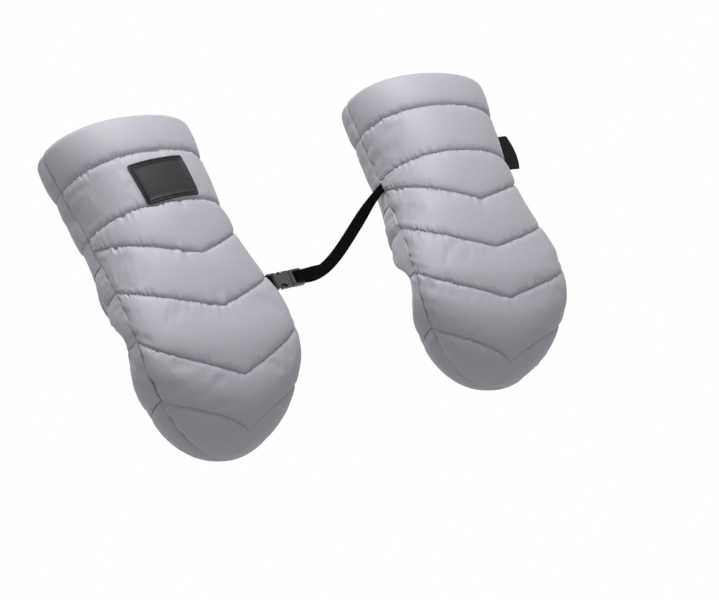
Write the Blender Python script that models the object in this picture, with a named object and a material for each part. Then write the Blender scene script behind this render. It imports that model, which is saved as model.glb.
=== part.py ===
"""Hand muffs for a pram: two quilted mitts that slip over a handlebar, joined by a strap.

Each mitt is a quilted front panel, a wrist panel behind the cuff, a toe cup and a flap that closes
behind the bar with hook-and-loop tape. A side gusset on each edge hangs over the bar. The strap
between the mitts has a side-release buckle.

The origin is on the axis of the handlebar, halfway between the mitts. +X runs along the bar, +Y from
the toes to the cuffs, and +Z is the way the quilted fronts face.
"""

import math

import bmesh
import bpy
import numpy as np
from mathutils import Matrix, Vector

# Gaps between pieces that touch
GAP = 0.0003
SEAM_GAP = 0.0004

# Places along a mitt, measured from the tip of its toe
LENGTH = 0.279
BAR_FROM_TOE = 0.100
WRIST_FROM_TOE = 0.200
FOLD_FROM_TOE = 0.045
SLIT_END_FROM_TOE = 0.168
FLAP_END_FROM_TOE = 0.203
TOE_ROUNDING = 0.085

# Half widths of the quilted front
HALF_AT_BAR = 0.068
HALF_AT_WRIST = 0.0577
HALF_AT_CUFF = 0.0650

# Heights over the axis of the bar
TOP_AT_BAR = 0.0610
TOP_AT_WRIST = 0.0590
TOP_AT_CUFF = 0.0510
SEAM_AT_TOE = 0.0260
SEAM_AT_BAR = 0.0375
SEAM_AT_WRIST = 0.0057
SEAM_AT_CUFF = -0.0010

# Depths under the axis of the bar
UNDER_AT_TOE = 0.0290
UNDER_AT_FOLD = 0.0310
UNDER_AT_BAR = 0.0360
UNDER_AT_SLIT_END = 0.0330
UNDER_AT_WRIST = 0.0340
UNDER_AT_CUFF = 0.0410

# How the sections and the toe are rounded: 2 is an ellipse, more is squarer
FRONT_POWER = 2.2
UNDER_POWER = 2.4
TOE_POWER = 2.0
TOE_CROWN_SHARE = 0.8

# The plies of each padded panel
SHELL = 0.0012
WADDING = 0.0056
LINING = 0.0015
PADDED = SHELL + WADDING + LINING + 2 * GAP

# Quilting: where each line meets the side seams, and how far the chevrons dip at the middle
CHEVRON_DIP = 0.0370
CHEVRON_FROM_TOE = 0.045
CHEVRON_PITCH = 0.046
CHEVRONS = 4
STRAIGHT_LINE = CHEVRONS + 1
CUFF_LINE_SHARE = 0.564345
LINE_OVER_CHEVRON = 0.0113
ROWS_PER_CHANNEL = 3
FRONT_COLUMNS = 12
UNDER_COLUMNS = 12
NEAR_SHARE = 0.5
LEAST_STEP_SHARE = 0.05
SHARP_CLOTH = 40.0
SHARP_PLASTIC = 50.0
PUFF = 0.0040
UNDER_PUFF = 0.0030
PUFF_AT_SEAM_SHARE = 0.25
FIRST_ROWS_SHARES = (0.0, 0.10, 0.40)
PUFF_POWER = 0.8
SIDE_POWER = 4

# The gussets and the way through for the handlebar
BAR_CLEAR_HEIGHT = 0.0225
BAR_CLEAR_HALF_LENGTH = 0.0315
GUSSET_HEM = 0.0060
GUSSET_PUFF = 0.0030
GUSSET_COLUMNS = 3
GUSSET_SEAM_SHARE = 0.1

# The closing flap
FLAP_COLUMNS = 10
FLAP_CHANNELS = 3
FLAP_HEM_AT_FOLD = 0.0080
FLAP_HEM_AT_BAR = 0.0315
FLAP_HALF_AT_SLIT_END = 0.0380
FLAP_HALF_AT_END = 0.0320
FLAP_LIFT_FROM_TOE = 0.108
FLAP_CORNER = 0.0120
TAPE = 0.0012
TAPE_GAP = 0.0006
TAPE_FROM_TOE = 0.1720
TAPE_WIDTH = 0.0200
LOOP_HALF_COLUMNS_SHARE = 0.17
HOOK_HALF_COLUMNS_SHARE = 0.364
STACK = PADDED + 2 * TAPE + 3 * TAPE_GAP

# How the mitts lie on the bar, in degrees
HALF_SPACING = 0.137
LEFT_TURN = -2.0
RIGHT_TURN = -10.5
LEFT_ROLL = 3.0
RIGHT_ROLL = -3.0

# The rubber patch on the left mitt
PATCH_WIDTH = 0.0480
PATCH_HEIGHT = 0.0350
PATCH_ASIDE = -0.0050
PATCH_THICK = 0.0014
PATCH_GAP = 0.0005
PATCH_OVER_LINE = 0.0022

# The folded side tag on the right mitt
TAG_HEIGHT = 0.0340
TAG_REACH = 0.0215
TAG_THICK = 0.0006
TAG_FOLD = 0.0009
TAG_FROM_TOE = 0.2010
TAG_TILT = 24.0

# Webbing and buckle
WEBBING = 0.0100
WEBBING_THICK = 0.0011
BUCKLE_WIDTH = 0.0140
BUCKLE_THICK = 0.0056
BUCKLE_BEVEL = 0.0009
BEVEL_STEPS = 2
BEVEL_SHARE = 0.5
SOCKET_LENGTH = 0.0150
SOCKET_WALL = 0.0013
SOCKET_CAVITY = 0.0128
WINDOW_FROM_MOUTH = 0.0064
WINDOW_LENGTH = 0.0050
FRAME_LENGTH = 0.0060
SLOT = 0.0031
SLOT_CLEAR = 0.0003
PLUG_SHOULDER = 0.0026
PLUG_FRAME = 0.0092
PLUG_BAR = 0.0015
RUNNING = 0.0003
GUIDE_WIDTH = 0.0018
GUIDE_LENGTH = 0.0105
PRONG_WIDTH = 0.0015
PRONG_INSET = 0.0004
PRONG_ROOT = 0.0010
BARB = 0.0014
BARB_FLAT_SHARE = 0.35
BARB_INNER_SHARE = 0.55
BARB_SLOPE_SHARE = 0.75
MOUTH_GAP = 0.0004
STUB_FROM_TOE = 0.1350
STUB_REACH = 0.0115
BUCKLE_DROP = 0.0095
BUCKLE_TOEWARD = 0.0040
STUB_PINCH_SHARE = 0.3
STUB_FULL_SHARE = 0.4
STRAP_FROM_TOE = 0.1870
STRAP_SAG = 0.0060
STRAP_STEPS = 16
LOOP_STEPS = 6
TAIL_LENGTH = 0.0180
TAIL_LIFT = 0.0016
TAIL_BEND_SHARES = (0.6, 0.2)
TAIL_BEND_LIFT_SHARE = 0.3
LEAVE_SHARE = 0.30
ARRIVE_SHARE = 0.33

# Materials: colour, roughness, metallic
NYLON = ((0.47, 0.47, 0.53), 0.62, 0.0)
FLEECE = ((0.36, 0.36, 0.40), 0.95, 0.0)
POLYESTER = ((0.86, 0.86, 0.86), 0.95, 0.0)
RUBBER = ((0.045, 0.045, 0.048), 0.55, 0.0)
BLACK_WEBBING = ((0.012, 0.012, 0.013), 0.85, 0.0)
BLACK_PLASTIC = ((0.045, 0.045, 0.047), 0.42, 0.0)
BLACK_TAPE = ((0.10, 0.10, 0.11), 0.9, 0.0)


def clear_scene():
    for thing in list(bpy.data.objects):
        bpy.data.objects.remove(thing)


def material(name, finish):
    colour, roughness, metallic = finish
    made = bpy.data.materials.new(name)
    made.use_nodes = True
    shader = made.node_tree.nodes["Principled BSDF"]
    shader.inputs["Base Color"].default_value = (*colour, 1.0)
    shader.inputs["Roughness"].default_value = roughness
    shader.inputs["Metallic"].default_value = metallic
    made.diffuse_color = (*colour, 1.0)
    return made


def add_object(name, mesh, finish, parent=None):
    thing = bpy.data.objects.new(name, mesh)
    bpy.context.scene.collection.objects.link(thing)
    thing.data.materials.append(material(name, finish))
    thing.parent = parent
    return thing


def along(place, places, values):
    """A smooth curve through values at places."""
    places = np.asarray(places, float)
    values = np.asarray(values, float)
    slopes = np.gradient(values, places)
    i = int(np.clip(np.searchsorted(places, place) - 1, 0, len(places) - 2))
    span = places[i + 1] - places[i]
    t = (place - places[i]) / span
    rise = (2 * t**3 - 3 * t**2 + 1) * values[i] + (3 * t**2 - 2 * t**3) * values[i + 1]
    lean = (t**3 - 2 * t**2 + t) * slopes[i] + (t**3 - t**2) * slopes[i + 1]
    return rise + span * lean


def ease(share):
    share = min(max(share, 0.0), 1.0)
    return share * share * (3 - 2 * share)


def toe_share(v):
    """How far the rounded toe has opened at v: 0 at the tip, 1 past the rounding."""
    left = 1 - min(v / TOE_ROUNDING, 1.0)
    return (1 - left**TOE_POWER) ** (1 / TOE_POWER)


def half_width(v):
    places = (0.0, BAR_FROM_TOE, WRIST_FROM_TOE, LENGTH)
    return along(v, places, (HALF_AT_BAR, HALF_AT_BAR, HALF_AT_WRIST, HALF_AT_CUFF))


def seam_height(v):
    places = (0.0, BAR_FROM_TOE, WRIST_FROM_TOE, LENGTH)
    heights = (SEAM_AT_TOE, SEAM_AT_BAR, SEAM_AT_WRIST, SEAM_AT_CUFF)
    return toe_share(v) ** 2 * along(v, places, heights)


def top_height(v):
    places = (0.0, BAR_FROM_TOE, WRIST_FROM_TOE, LENGTH)
    heights = (TOP_AT_BAR, TOP_AT_BAR, TOP_AT_WRIST, TOP_AT_CUFF)
    return toe_share(v) ** TOE_CROWN_SHARE * along(v, places, heights)


def under_depth(v):
    places = (0.0, FOLD_FROM_TOE, BAR_FROM_TOE, SLIT_END_FROM_TOE, WRIST_FROM_TOE, LENGTH)
    depths = (
        UNDER_AT_TOE,
        UNDER_AT_FOLD,
        UNDER_AT_BAR,
        UNDER_AT_SLIT_END,
        UNDER_AT_WRIST,
        UNDER_AT_CUFF,
    )
    return toe_share(v) ** TOE_CROWN_SHARE * along(v, places, depths)


def section_point(angle, v, depth, power, seam, reach):
    """A point of a rounded section: angle 0 is the right seam, pi is the left one."""
    toe = toe_share(v)
    across = math.cos(angle)
    x = math.copysign(abs(across) ** (2 / power), across) * (half_width(v) - depth) * toe
    z = seam + reach * max(math.sin(angle), 0.0) ** (2 / power)
    y = depth + v * (LENGTH - depth) / LENGTH - BAR_FROM_TOE
    return (x, y, z)


def front_point(angle, v, depth):
    seam = seam_height(v) + SEAM_GAP / 2
    reach = top_height(v) - seam_height(v) - depth * toe_share(v)
    return section_point(angle, v, depth, FRONT_POWER, seam, reach)


def under_point(angle, v, depth):
    seam = seam_height(v) - SEAM_GAP / 2
    reach = under_depth(v) + seam_height(v) - depth * toe_share(v)
    return section_point(angle, v, depth, UNDER_POWER, seam, -reach)


def under_angle(v, z):
    """The angle at which the under side has come down to z."""
    drop = (seam_height(v) - z) / (seam_height(v) + under_depth(v))
    return math.asin(min(max(drop, 0.0), 1.0) ** (UNDER_POWER / 2))


def quilt_lines():
    """(where a line meets the seams, how far it dips at the middle), from the toe to the cuff."""
    lines = [(0.0, 0.0)]
    for i in range(CHEVRONS):
        place = CHEVRON_FROM_TOE + i * CHEVRON_PITCH
        lines.append((place, min(CHEVRON_DIP, place * CHEVRON_DIP / CHEVRON_FROM_TOE)))
    first = lines[-1][0] + LINE_OVER_CHEVRON
    lines += [(first, 0.0), (first + (LENGTH - first) * CUFF_LINE_SHARE, 0.0), (LENGTH, 0.0)]
    return lines


def front_rows():
    """Each row of the front grid: its place at the seams, its dip, and its share of a channel."""
    lines = quilt_lines()
    rows = []
    for k in range(len(lines) - 1):
        (low, low_dip), (high, high_dip) = lines[k], lines[k + 1]
        for i in range(ROWS_PER_CHANNEL):
            t = FIRST_ROWS_SHARES[i] if k == 0 else i / ROWS_PER_CHANNEL
            rows.append((low + (high - low) * t, low_dip + (high_dip - low_dip) * t, t))
    rows.append((*lines[-1], 0.0))
    return rows


def puff_share(t, s):
    """How full the padding stands: t runs across a channel, s from -1 to 1 between the seams."""
    side = PUFF_AT_SEAM_SHARE + (1 - PUFF_AT_SEAM_SHARE) * (1 - abs(s) ** SIDE_POWER)
    return math.sin(math.pi * t) ** PUFF_POWER * side


def front_grid(depth, puff):
    grid = []
    for place, dip, t in front_rows():
        row = []
        for c in range(FRONT_COLUMNS + 1):
            s = 1 - 2 * c / FRONT_COLUMNS
            v = place - dip * (1 - abs(s))
            angle = math.pi * c / FRONT_COLUMNS
            row.append(front_point(angle, v, depth - puff * puff_share(t, s) * toe_share(v)))
        grid.append(row)
    return grid


def under_rows(low, high):
    """Rows that meet the front's rows along the seams, between two places."""
    clear = SEAM_GAP / 2
    rows = [(p, t) for p, _, t in front_rows() if low - clear < p < high + clear]
    return rows


def under_grid(rows, depth, puff):
    grid = []
    for place, t in rows:
        row = []
        for c in range(UNDER_COLUMNS + 1):
            angle = math.pi * c / UNDER_COLUMNS
            s = 1 - 2 * c / UNDER_COLUMNS
            row.append(under_point(angle, place, depth - puff * puff_share(t, s) * toe_share(place)))
        grid.append(row)
    return grid


def block(name, outer, inner, finish, parent):
    """One closed solid between two grids of points; a row of equal points is a tip."""
    bm = bmesh.new()
    rows, columns = len(outer), len(outer[0])

    def corners(grid):
        made = []
        for row in grid:
            if all(Vector(p) == Vector(row[0]) for p in row):
                made.append([bm.verts.new(row[0])] * columns)
            else:
                made.append([bm.verts.new(p) for p in row])
        return made

    out, back = corners(outer), corners(inner)

    def face(*corner):
        kept = [v for i, v in enumerate(corner) if v is not corner[i - 1]]
        if len(kept) > 2:
            bm.faces.new(kept)

    for r in range(rows - 1):
        for c in range(columns - 1):
            face(out[r][c], out[r][c + 1], out[r + 1][c + 1], out[r + 1][c])
            face(back[r][c], back[r + 1][c], back[r + 1][c + 1], back[r][c + 1])
        face(out[r][0], out[r + 1][0], back[r + 1][0], back[r][0])
        face(out[r][-1], back[r][-1], back[r + 1][-1], out[r + 1][-1])
    for c in range(columns - 1):
        if out[0][c] is not out[0][c + 1]:
            face(out[0][c], back[0][c], back[0][c + 1], out[0][c + 1])
        face(out[-1][c], out[-1][c + 1], back[-1][c + 1], back[-1][c])
    bmesh.ops.recalc_face_normals(bm, faces=bm.faces[:])
    mesh = bpy.data.meshes.new(name)
    bm.to_mesh(mesh)
    bm.free()
    mesh.shade_smooth()
    mesh.set_sharp_from_angle(angle=math.radians(SHARP_CLOTH))
    return add_object(name, mesh, finish, parent)


def between(grid, row, column):
    """A point of a grid at fractions of a row and a column."""
    r = min(int(row), len(grid) - 2)
    c = min(int(column), len(grid[0]) - 2)
    a, b = row - r, column - c
    low = Vector(grid[r][c]).lerp(Vector(grid[r][c + 1]), b)
    high = Vector(grid[r + 1][c]).lerp(Vector(grid[r + 1][c + 1]), b)
    return low.lerp(high, a)


def steps_between(low, high):
    """low and high with the whole numbers between them, so that a patch bends where its seat does."""
    first, last = math.ceil(low + LEAST_STEP_SHARE), math.floor(high - LEAST_STEP_SHARE)
    inside = [float(i) for i in range(first, last + 1)]
    return [low, *inside, high]


def plate_on(name, grid, rows, columns, low, high, finish, parent):
    """A thin plate on a grid, from low to high; heights count downward from the surface."""
    row_steps = steps_between(*rows)
    column_steps = steps_between(*columns)

    def lifted(height):
        made = []
        for r in row_steps:
            line = []
            for c in column_steps:
                here = between(grid, r, c)
                along_row = between(grid, r, c + NEAR_SHARE) - between(grid, r, c - NEAR_SHARE)
                above, below = min(r + NEAR_SHARE, len(grid) - 1), max(r - NEAR_SHARE, 0)
                up_rows = between(grid, above, c) - between(grid, below, c)
                normal = along_row.cross(up_rows).normalized()
                line.append(tuple(here + normal * height))
            made.append(line)
        return made

    return block(name, lifted(high), lifted(low), finish, parent)


def row_at(rows, place):
    """The fraction of a row at a place along the mitt."""
    places = [row[0] for row in rows]
    return float(np.interp(place, places, range(len(places))))


def column_at(grid, row, far):
    """The fraction of a column that lies so far to the right of the middle, along a row."""
    points = [between(grid, row, c) for c in range(len(grid[0]))]
    at = [0.0]
    for here, there in zip(points, points[1:]):
        at.append(at[-1] + (there - here).length)
    return float(np.interp(at[len(at) // 2] - far, at, range(len(at))))


def padded_panel(side, panel, grid_of, parent, lift=0.0, puff=0.0):
    """Shell, wadding and lining of one panel, one inside the other."""
    depths = {
        "shell": (lift, lift + SHELL, NYLON, puff, puff),
        "wadding": (lift + SHELL + GAP, lift + SHELL + GAP + WADDING, POLYESTER, puff, 0.0),
        "lining": (lift + PADDED - LINING, lift + PADDED, FLEECE, 0.0, 0.0),
    }
    for ply, (top, bottom, finish, out_puff, in_puff) in depths.items():
        name = f"{side}_{panel}_{ply}"
        block(name, grid_of(top, out_puff), grid_of(bottom, in_puff), finish, parent)


def bar_crossing(sign, hand):
    """Where the bar's axis crosses a mitt's side: how far from the bar's place, and how high."""
    ahead = mitt_matrix(sign).inverted().to_3x3() @ Vector((1, 0, 0))
    there = ahead * (hand * HALF_AT_BAR / ahead.x)
    return there.y, there.z


def gusset_grid(depth, puff, sign, hand):
    """The strip under the side seam, lifted clear of the bar; hand 1 is the right one."""
    crossing, rise = bar_crossing(sign, hand)
    rows = under_rows(FOLD_FROM_TOE, SLIT_END_FROM_TOE)
    ends = (rows[0][0] + SEAM_GAP, rows[-1][0] - SEAM_GAP)
    grid = []
    for place, t in rows:
        v = min(max(place, ends[0]), ends[1])
        off = (v - BAR_FROM_TOE - crossing) / BAR_CLEAR_HALF_LENGTH
        arch = math.sqrt(max(1 - off * off, 0.0)) * (BAR_CLEAR_HEIGHT + rise + GUSSET_HEM)
        last = under_angle(v, arch - GUSSET_HEM)
        row = []
        for c in range(GUSSET_COLUMNS + 1):
            share = c / GUSSET_COLUMNS
            across = GUSSET_SEAM_SHARE + (1 - GUSSET_SEAM_SHARE) * share
            full = math.sin(math.pi * t) ** PUFF_POWER * math.sin(math.pi * min(across, 1.0))
            x, y, z = under_point(last * share, v, depth - puff * full)
            row.append((hand * x, y, z))
        grid.append(row)
    return grid


def flap_rows():
    clear = FOLD_FROM_TOE + SEAM_GAP
    count = FLAP_CHANNELS * ROWS_PER_CHANNEL
    step = (FLAP_END_FROM_TOE - clear) / count
    return [(clear + i * step, (i / ROWS_PER_CHANNEL) % 1.0) for i in range(count + 1)]


def flap_lift(v):
    """How far the flap has moved out to lie over the wrist panel."""
    span = SLIT_END_FROM_TOE - FLAP_LIFT_FROM_TOE
    return -STACK * ease((v - FLAP_LIFT_FROM_TOE) / span)


def width_angle(v, half):
    """The angle at which the flap is that wide to each side."""
    return math.acos(min(half / (half_width(v) - flap_lift(v)), 1.0) ** (UNDER_POWER / 2))


def flap_edge(v):
    """The angle at which the flap's edge lies: near the seams at the fold, a tongue at its end."""
    places = (FOLD_FROM_TOE, BAR_FROM_TOE, SLIT_END_FROM_TOE, FLAP_END_FROM_TOE)
    angles = (
        under_angle(FOLD_FROM_TOE, -FLAP_HEM_AT_FOLD),
        under_angle(BAR_FROM_TOE, -FLAP_HEM_AT_BAR),
        width_angle(SLIT_END_FROM_TOE, FLAP_HALF_AT_SLIT_END),
        width_angle(FLAP_END_FROM_TOE, FLAP_HALF_AT_END),
    )
    return along(v, places, angles)


def flap_grid(depth, puff):
    rows = flap_rows()
    end = rows[-1][0]
    grid = []
    for place, t in rows:
        first = flap_edge(place)
        corner = FLAP_CORNER * ease((place - SLIT_END_FROM_TOE) / (end - SLIT_END_FROM_TOE))
        row = []
        for c in range(FLAP_COLUMNS + 1):
            s = 1 - 2 * c / FLAP_COLUMNS
            angle = first + (math.pi - 2 * first) * c / FLAP_COLUMNS
            v = place - corner * abs(s) ** SIDE_POWER
            row.append(under_point(angle, v, depth + flap_lift(v) - puff * puff_share(t, s)))
        grid.append(row)
    return grid


def mitt_matrix(sign):
    """Where a mitt lies on the bar: sign -1 is the left one."""
    turn, roll = (LEFT_TURN, LEFT_ROLL) if sign < 0 else (RIGHT_TURN, RIGHT_ROLL)
    turned = Matrix.Rotation(math.radians(turn), 4, "Z") @ Matrix.Rotation(math.radians(roll), 4, "Y")
    return Matrix.Translation((sign * HALF_SPACING, 0, 0)) @ turned


def seam_piece(hand, place, width, full_share=1.0):
    """The middle and the direction of a stretch of side seam; hand 1 is the right seam.

    full_share says how full the padding stands there: less beside a line of quilting.
    """
    angle = 0.0 if hand > 0 else math.pi
    low = Vector(front_point(angle, place - width / 2, 0.0))
    high = Vector(front_point(angle, place + width / 2, 0.0))
    clear = Vector((hand * (PUFF * PUFF_AT_SEAM_SHARE * full_share + GAP), 0, 0))
    return (low + high) / 2 + clear, (high - low).normalized()


def empty(name, parent=None):
    made = bpy.data.objects.new(name, None)
    bpy.context.scene.collection.objects.link(made)
    made.parent = parent
    return made


def mitt(side, sign):
    """One mitt about the bar; its flap hangs from a second empty on the fold."""
    frame = empty(f"{side}_mitt_frame")
    frame.matrix_world = mitt_matrix(sign)

    padded_panel(side, "front", front_grid, frame, puff=PUFF)

    wrist_low = SLIT_END_FROM_TOE
    rows = under_rows(wrist_low, LENGTH)
    line = quilt_lines()[STRAIGHT_LINE][0]
    wrist_rows = [(place, 0.0 if place < line else t) for place, t in rows]
    padded_panel(side, "wrist_back", lambda d, p: under_grid(wrist_rows, d, p), frame, puff=UNDER_PUFF)

    toe_rows = under_rows(0.0, FOLD_FROM_TOE)
    padded_panel(side, "toe_cup", lambda d, p: under_grid(toe_rows, d, p), frame, puff=UNDER_PUFF)

    for name, hand in (("outer_gusset", sign), ("inner_gusset", -sign)):
        outer = gusset_grid(0.0, GUSSET_PUFF, sign, hand)
        inner = gusset_grid(PADDED, 0.0, sign, hand)
        block(f"{side}_{name}", outer, inner, NYLON, frame)

    pivot = empty(f"{side}_flap_pivot", frame)
    fold = under_point(math.pi / 2, FOLD_FROM_TOE, 0.0)
    pivot.location = fold

    def about_fold(grid):
        return [[tuple(Vector(p) - Vector(fold)) for p in row] for row in grid]

    padded_panel(side, "flap", lambda d, p: about_fold(flap_grid(d, p)), pivot, puff=UNDER_PUFF)

    middle = UNDER_COLUMNS / 2
    reach = UNDER_COLUMNS * LOOP_HALF_COLUMNS_SHARE
    seat = under_grid(wrist_rows, 0.0, 0.0)
    low, high = row_at(wrist_rows, TAPE_FROM_TOE), row_at(wrist_rows, TAPE_FROM_TOE + TAPE_WIDTH)
    columns = (middle - reach, middle + reach)
    plate_on(f"{side}_loop_tape", seat, (low, high), columns, TAPE_GAP, TAPE_GAP + TAPE, BLACK_TAPE, frame)

    middle = FLAP_COLUMNS / 2
    reach = FLAP_COLUMNS * HOOK_HALF_COLUMNS_SHARE
    seat = about_fold(flap_grid(PADDED, 0.0))
    rows = flap_rows()
    low, high = row_at(rows, TAPE_FROM_TOE), row_at(rows, TAPE_FROM_TOE + TAPE_WIDTH)
    columns = (middle - reach, middle + reach)
    plate_on(f"{side}_hook_tape", seat, (low, high), columns, -TAPE_GAP, -TAPE_GAP - TAPE, BLACK_TAPE, pivot)
    return frame


def rubber_patch(frame):
    grid = front_grid(0.0, PUFF)
    rows = front_rows()
    line = quilt_lines()[STRAIGHT_LINE][0]
    low = row_at(rows, line + PATCH_OVER_LINE)
    high = row_at(rows, line + PATCH_OVER_LINE + PATCH_HEIGHT)
    right, left = PATCH_ASIDE + PATCH_WIDTH / 2, PATCH_ASIDE - PATCH_WIDTH / 2
    columns = (column_at(grid, low, right), column_at(grid, low, left))
    top = PATCH_GAP + PATCH_THICK
    plate_on("left_rubber_patch", grid, (low, high), columns, -PATCH_GAP, -top, RUBBER, frame)


def ribbon(name, path, widths, half_width_of, half_thick, finish, parent=None):
    """A flat band along a path; widths are the directions across it."""
    faces = []
    for side in (1, -1):
        grid = []
        for i, here in enumerate(path):
            ahead = path[min(i + 1, len(path) - 1)] - path[max(i - 1, 0)]
            across = widths[i].normalized()
            up = across.cross(ahead.normalized()).normalized() * half_thick * side
            grid.append([tuple(here + up + across * half_width_of * s) for s in (1, -1)])
        faces.append(grid)
    return block(name, faces[0], faces[1], finish, parent)


def side_tag(frame):
    """A woven tag folded over on itself, its two ends caught in the outer seam."""
    middle, seam = seam_piece(1, TAG_FROM_TOE + TAG_HEIGHT / 2, TAG_HEIGHT)
    tilt = math.radians(TAG_TILT)
    out = Vector((math.cos(tilt), 0, math.sin(tilt)))
    up = Vector((-math.sin(tilt), 0, math.cos(tilt)))
    root = middle + out * TAG_THICK
    radius = (TAG_FOLD + TAG_THICK) / 2
    straight = TAG_REACH - radius
    points = [root + up * radius, root + out * straight / 2 + up * radius, root + out * straight + up * radius]
    for i in range(1, LOOP_STEPS):
        turn = math.pi * i / LOOP_STEPS
        points.append(root + out * (straight + radius * math.sin(turn)) + up * radius * math.cos(turn))
    points += [root + out * straight - up * radius, root + out * straight / 2 - up * radius, root - up * radius]
    across = [seam] * len(points)
    ribbon("right_side_tag", points, across, TAG_HEIGHT / 2, TAG_THICK / 2, BLACK_WEBBING, frame)


def box(name, low, high, finish, parent, hidden=False, bevel=0.0):
    """A box between two corners, with its edges bevelled where bevel says so."""
    bm = bmesh.new()
    bmesh.ops.create_cube(bm, size=1.0)
    low, high = Vector(low), Vector(high)
    for v in bm.verts:
        v.co = Vector([low[i] if v.co[i] < 0 else high[i] for i in range(3)])
    if bevel:
        steps = {"segments": BEVEL_STEPS, "profile": BEVEL_SHARE, "affect": "EDGES"}
        bmesh.ops.bevel(bm, geom=bm.edges[:], offset=bevel, **steps)
    mesh = bpy.data.meshes.new(name)
    bm.to_mesh(mesh)
    bm.free()
    mesh.shade_smooth()
    mesh.set_sharp_from_angle(angle=math.radians(SHARP_PLASTIC))
    thing = add_object(name, mesh, finish, parent)
    if hidden:
        thing.hide_render = True
        thing.display_type = "WIRE"
    return thing


def cut(thing, cutter, operation="DIFFERENCE"):
    step = thing.modifiers.new(cutter.name, "BOOLEAN")
    step.operation = operation
    step.solver = "EXACT"
    step.object = cutter


def buckle_mouth():
    """Where the buckle's mouth is: it hangs a little below the seam that its stub leaves."""
    seam = mitt_matrix(-1) @ seam_piece(1, STUB_FROM_TOE, WEBBING, STUB_FULL_SHARE)[0]
    return seam + Vector((STUB_REACH + FRAME_LENGTH + SOCKET_LENGTH, -BUCKLE_TOEWARD, -BUCKLE_DROP))


def buckle_socket(parent):
    """The female half: a flat sleeve with a window in each edge and a frame for the webbing."""
    half, deep = BUCKLE_WIDTH / 2, BUCKLE_THICK / 2
    back = -SOCKET_LENGTH - FRAME_LENGTH
    over = BUCKLE_WIDTH
    body = box("buckle_socket", (back, -half, -deep), (0.0, half, deep), BLACK_PLASTIC, parent, bevel=BUCKLE_BEVEL)
    inner, height = half - SOCKET_WALL, deep - SOCKET_WALL
    cavity = box(
        "cutter_cavity", (-SOCKET_CAVITY, -inner, -height), (over, inner, height), BLACK_PLASTIC, parent, True
    )
    low = -WINDOW_FROM_MOUTH - WINDOW_LENGTH
    windows = box(
        "cutter_windows", (low, -over, -height), (-WINDOW_FROM_MOUTH, over, height), BLACK_PLASTIC, parent, True
    )
    rail = WEBBING / 2 + SLOT_CLEAR
    end = -SOCKET_LENGTH
    slot = box("cutter_slot", (end - SLOT, -rail, -over), (end, rail, over), BLACK_PLASTIC, parent, True)
    thin = deep - BUCKLE_BEVEL
    for name, side in (("cutter_frame_top", 1), ("cutter_frame_under", -1)):
        low, high = sorted((side * thin, side * over))
        step = box(name, (back - over, -over, low), (end, over, high), BLACK_PLASTIC, parent, True)
        cut(body, step)
    for cutter in (cavity, windows, slot):
        cut(body, cutter)
    return body


def buckle_plug(parent):
    """The male half without its prongs: shoulder, centre guide and a ladder of two bars."""
    half, deep = BUCKLE_WIDTH / 2, BUCKLE_THICK / 2
    start = MOUTH_GAP
    end = start + PLUG_SHOULDER + PLUG_FRAME
    over = BUCKLE_WIDTH
    body = box("buckle_plug", (start, -half, -deep), (end, half, deep), BLACK_PLASTIC, parent, bevel=BUCKLE_BEVEL)
    height = deep - SOCKET_WALL - RUNNING
    guide_low = -GUIDE_LENGTH
    guide = box(
        "joined_guide",
        (guide_low, -GUIDE_WIDTH / 2, -height),
        (start + PLUG_SHOULDER / 2, GUIDE_WIDTH / 2, height),
        BLACK_PLASTIC,
        parent,
        True,
    )
    cut(body, guide, "UNION")
    rail = WEBBING / 2 + SLOT_CLEAR
    frame = start + PLUG_SHOULDER
    slot = (PLUG_FRAME - 2 * PLUG_BAR) / 2
    thin = deep - BUCKLE_BEVEL
    for name, side in (("cutter_ladder_top", 1), ("cutter_ladder_under", -1)):
        low, high = sorted((side * thin, side * over))
        step = box(name, (frame, -over, low), (end + over, over, high), BLACK_PLASTIC, parent, True)
        cut(body, step)
    for i in range(2):
        low = frame + i * (slot + PLUG_BAR)
        opening = box(
            f"cutter_ladder_{i}", (low, -rail, -over), (low + slot, rail, over), BLACK_PLASTIC, parent, True
        )
        cut(body, opening)
    return body


def prong_root():
    """Where a prong bends, from the mouth and from the buckle's centre line."""
    inner = BUCKLE_WIDTH / 2 - SOCKET_WALL
    return (-PRONG_ROOT / 2, inner - PRONG_INSET - PRONG_WIDTH / 2)


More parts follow.
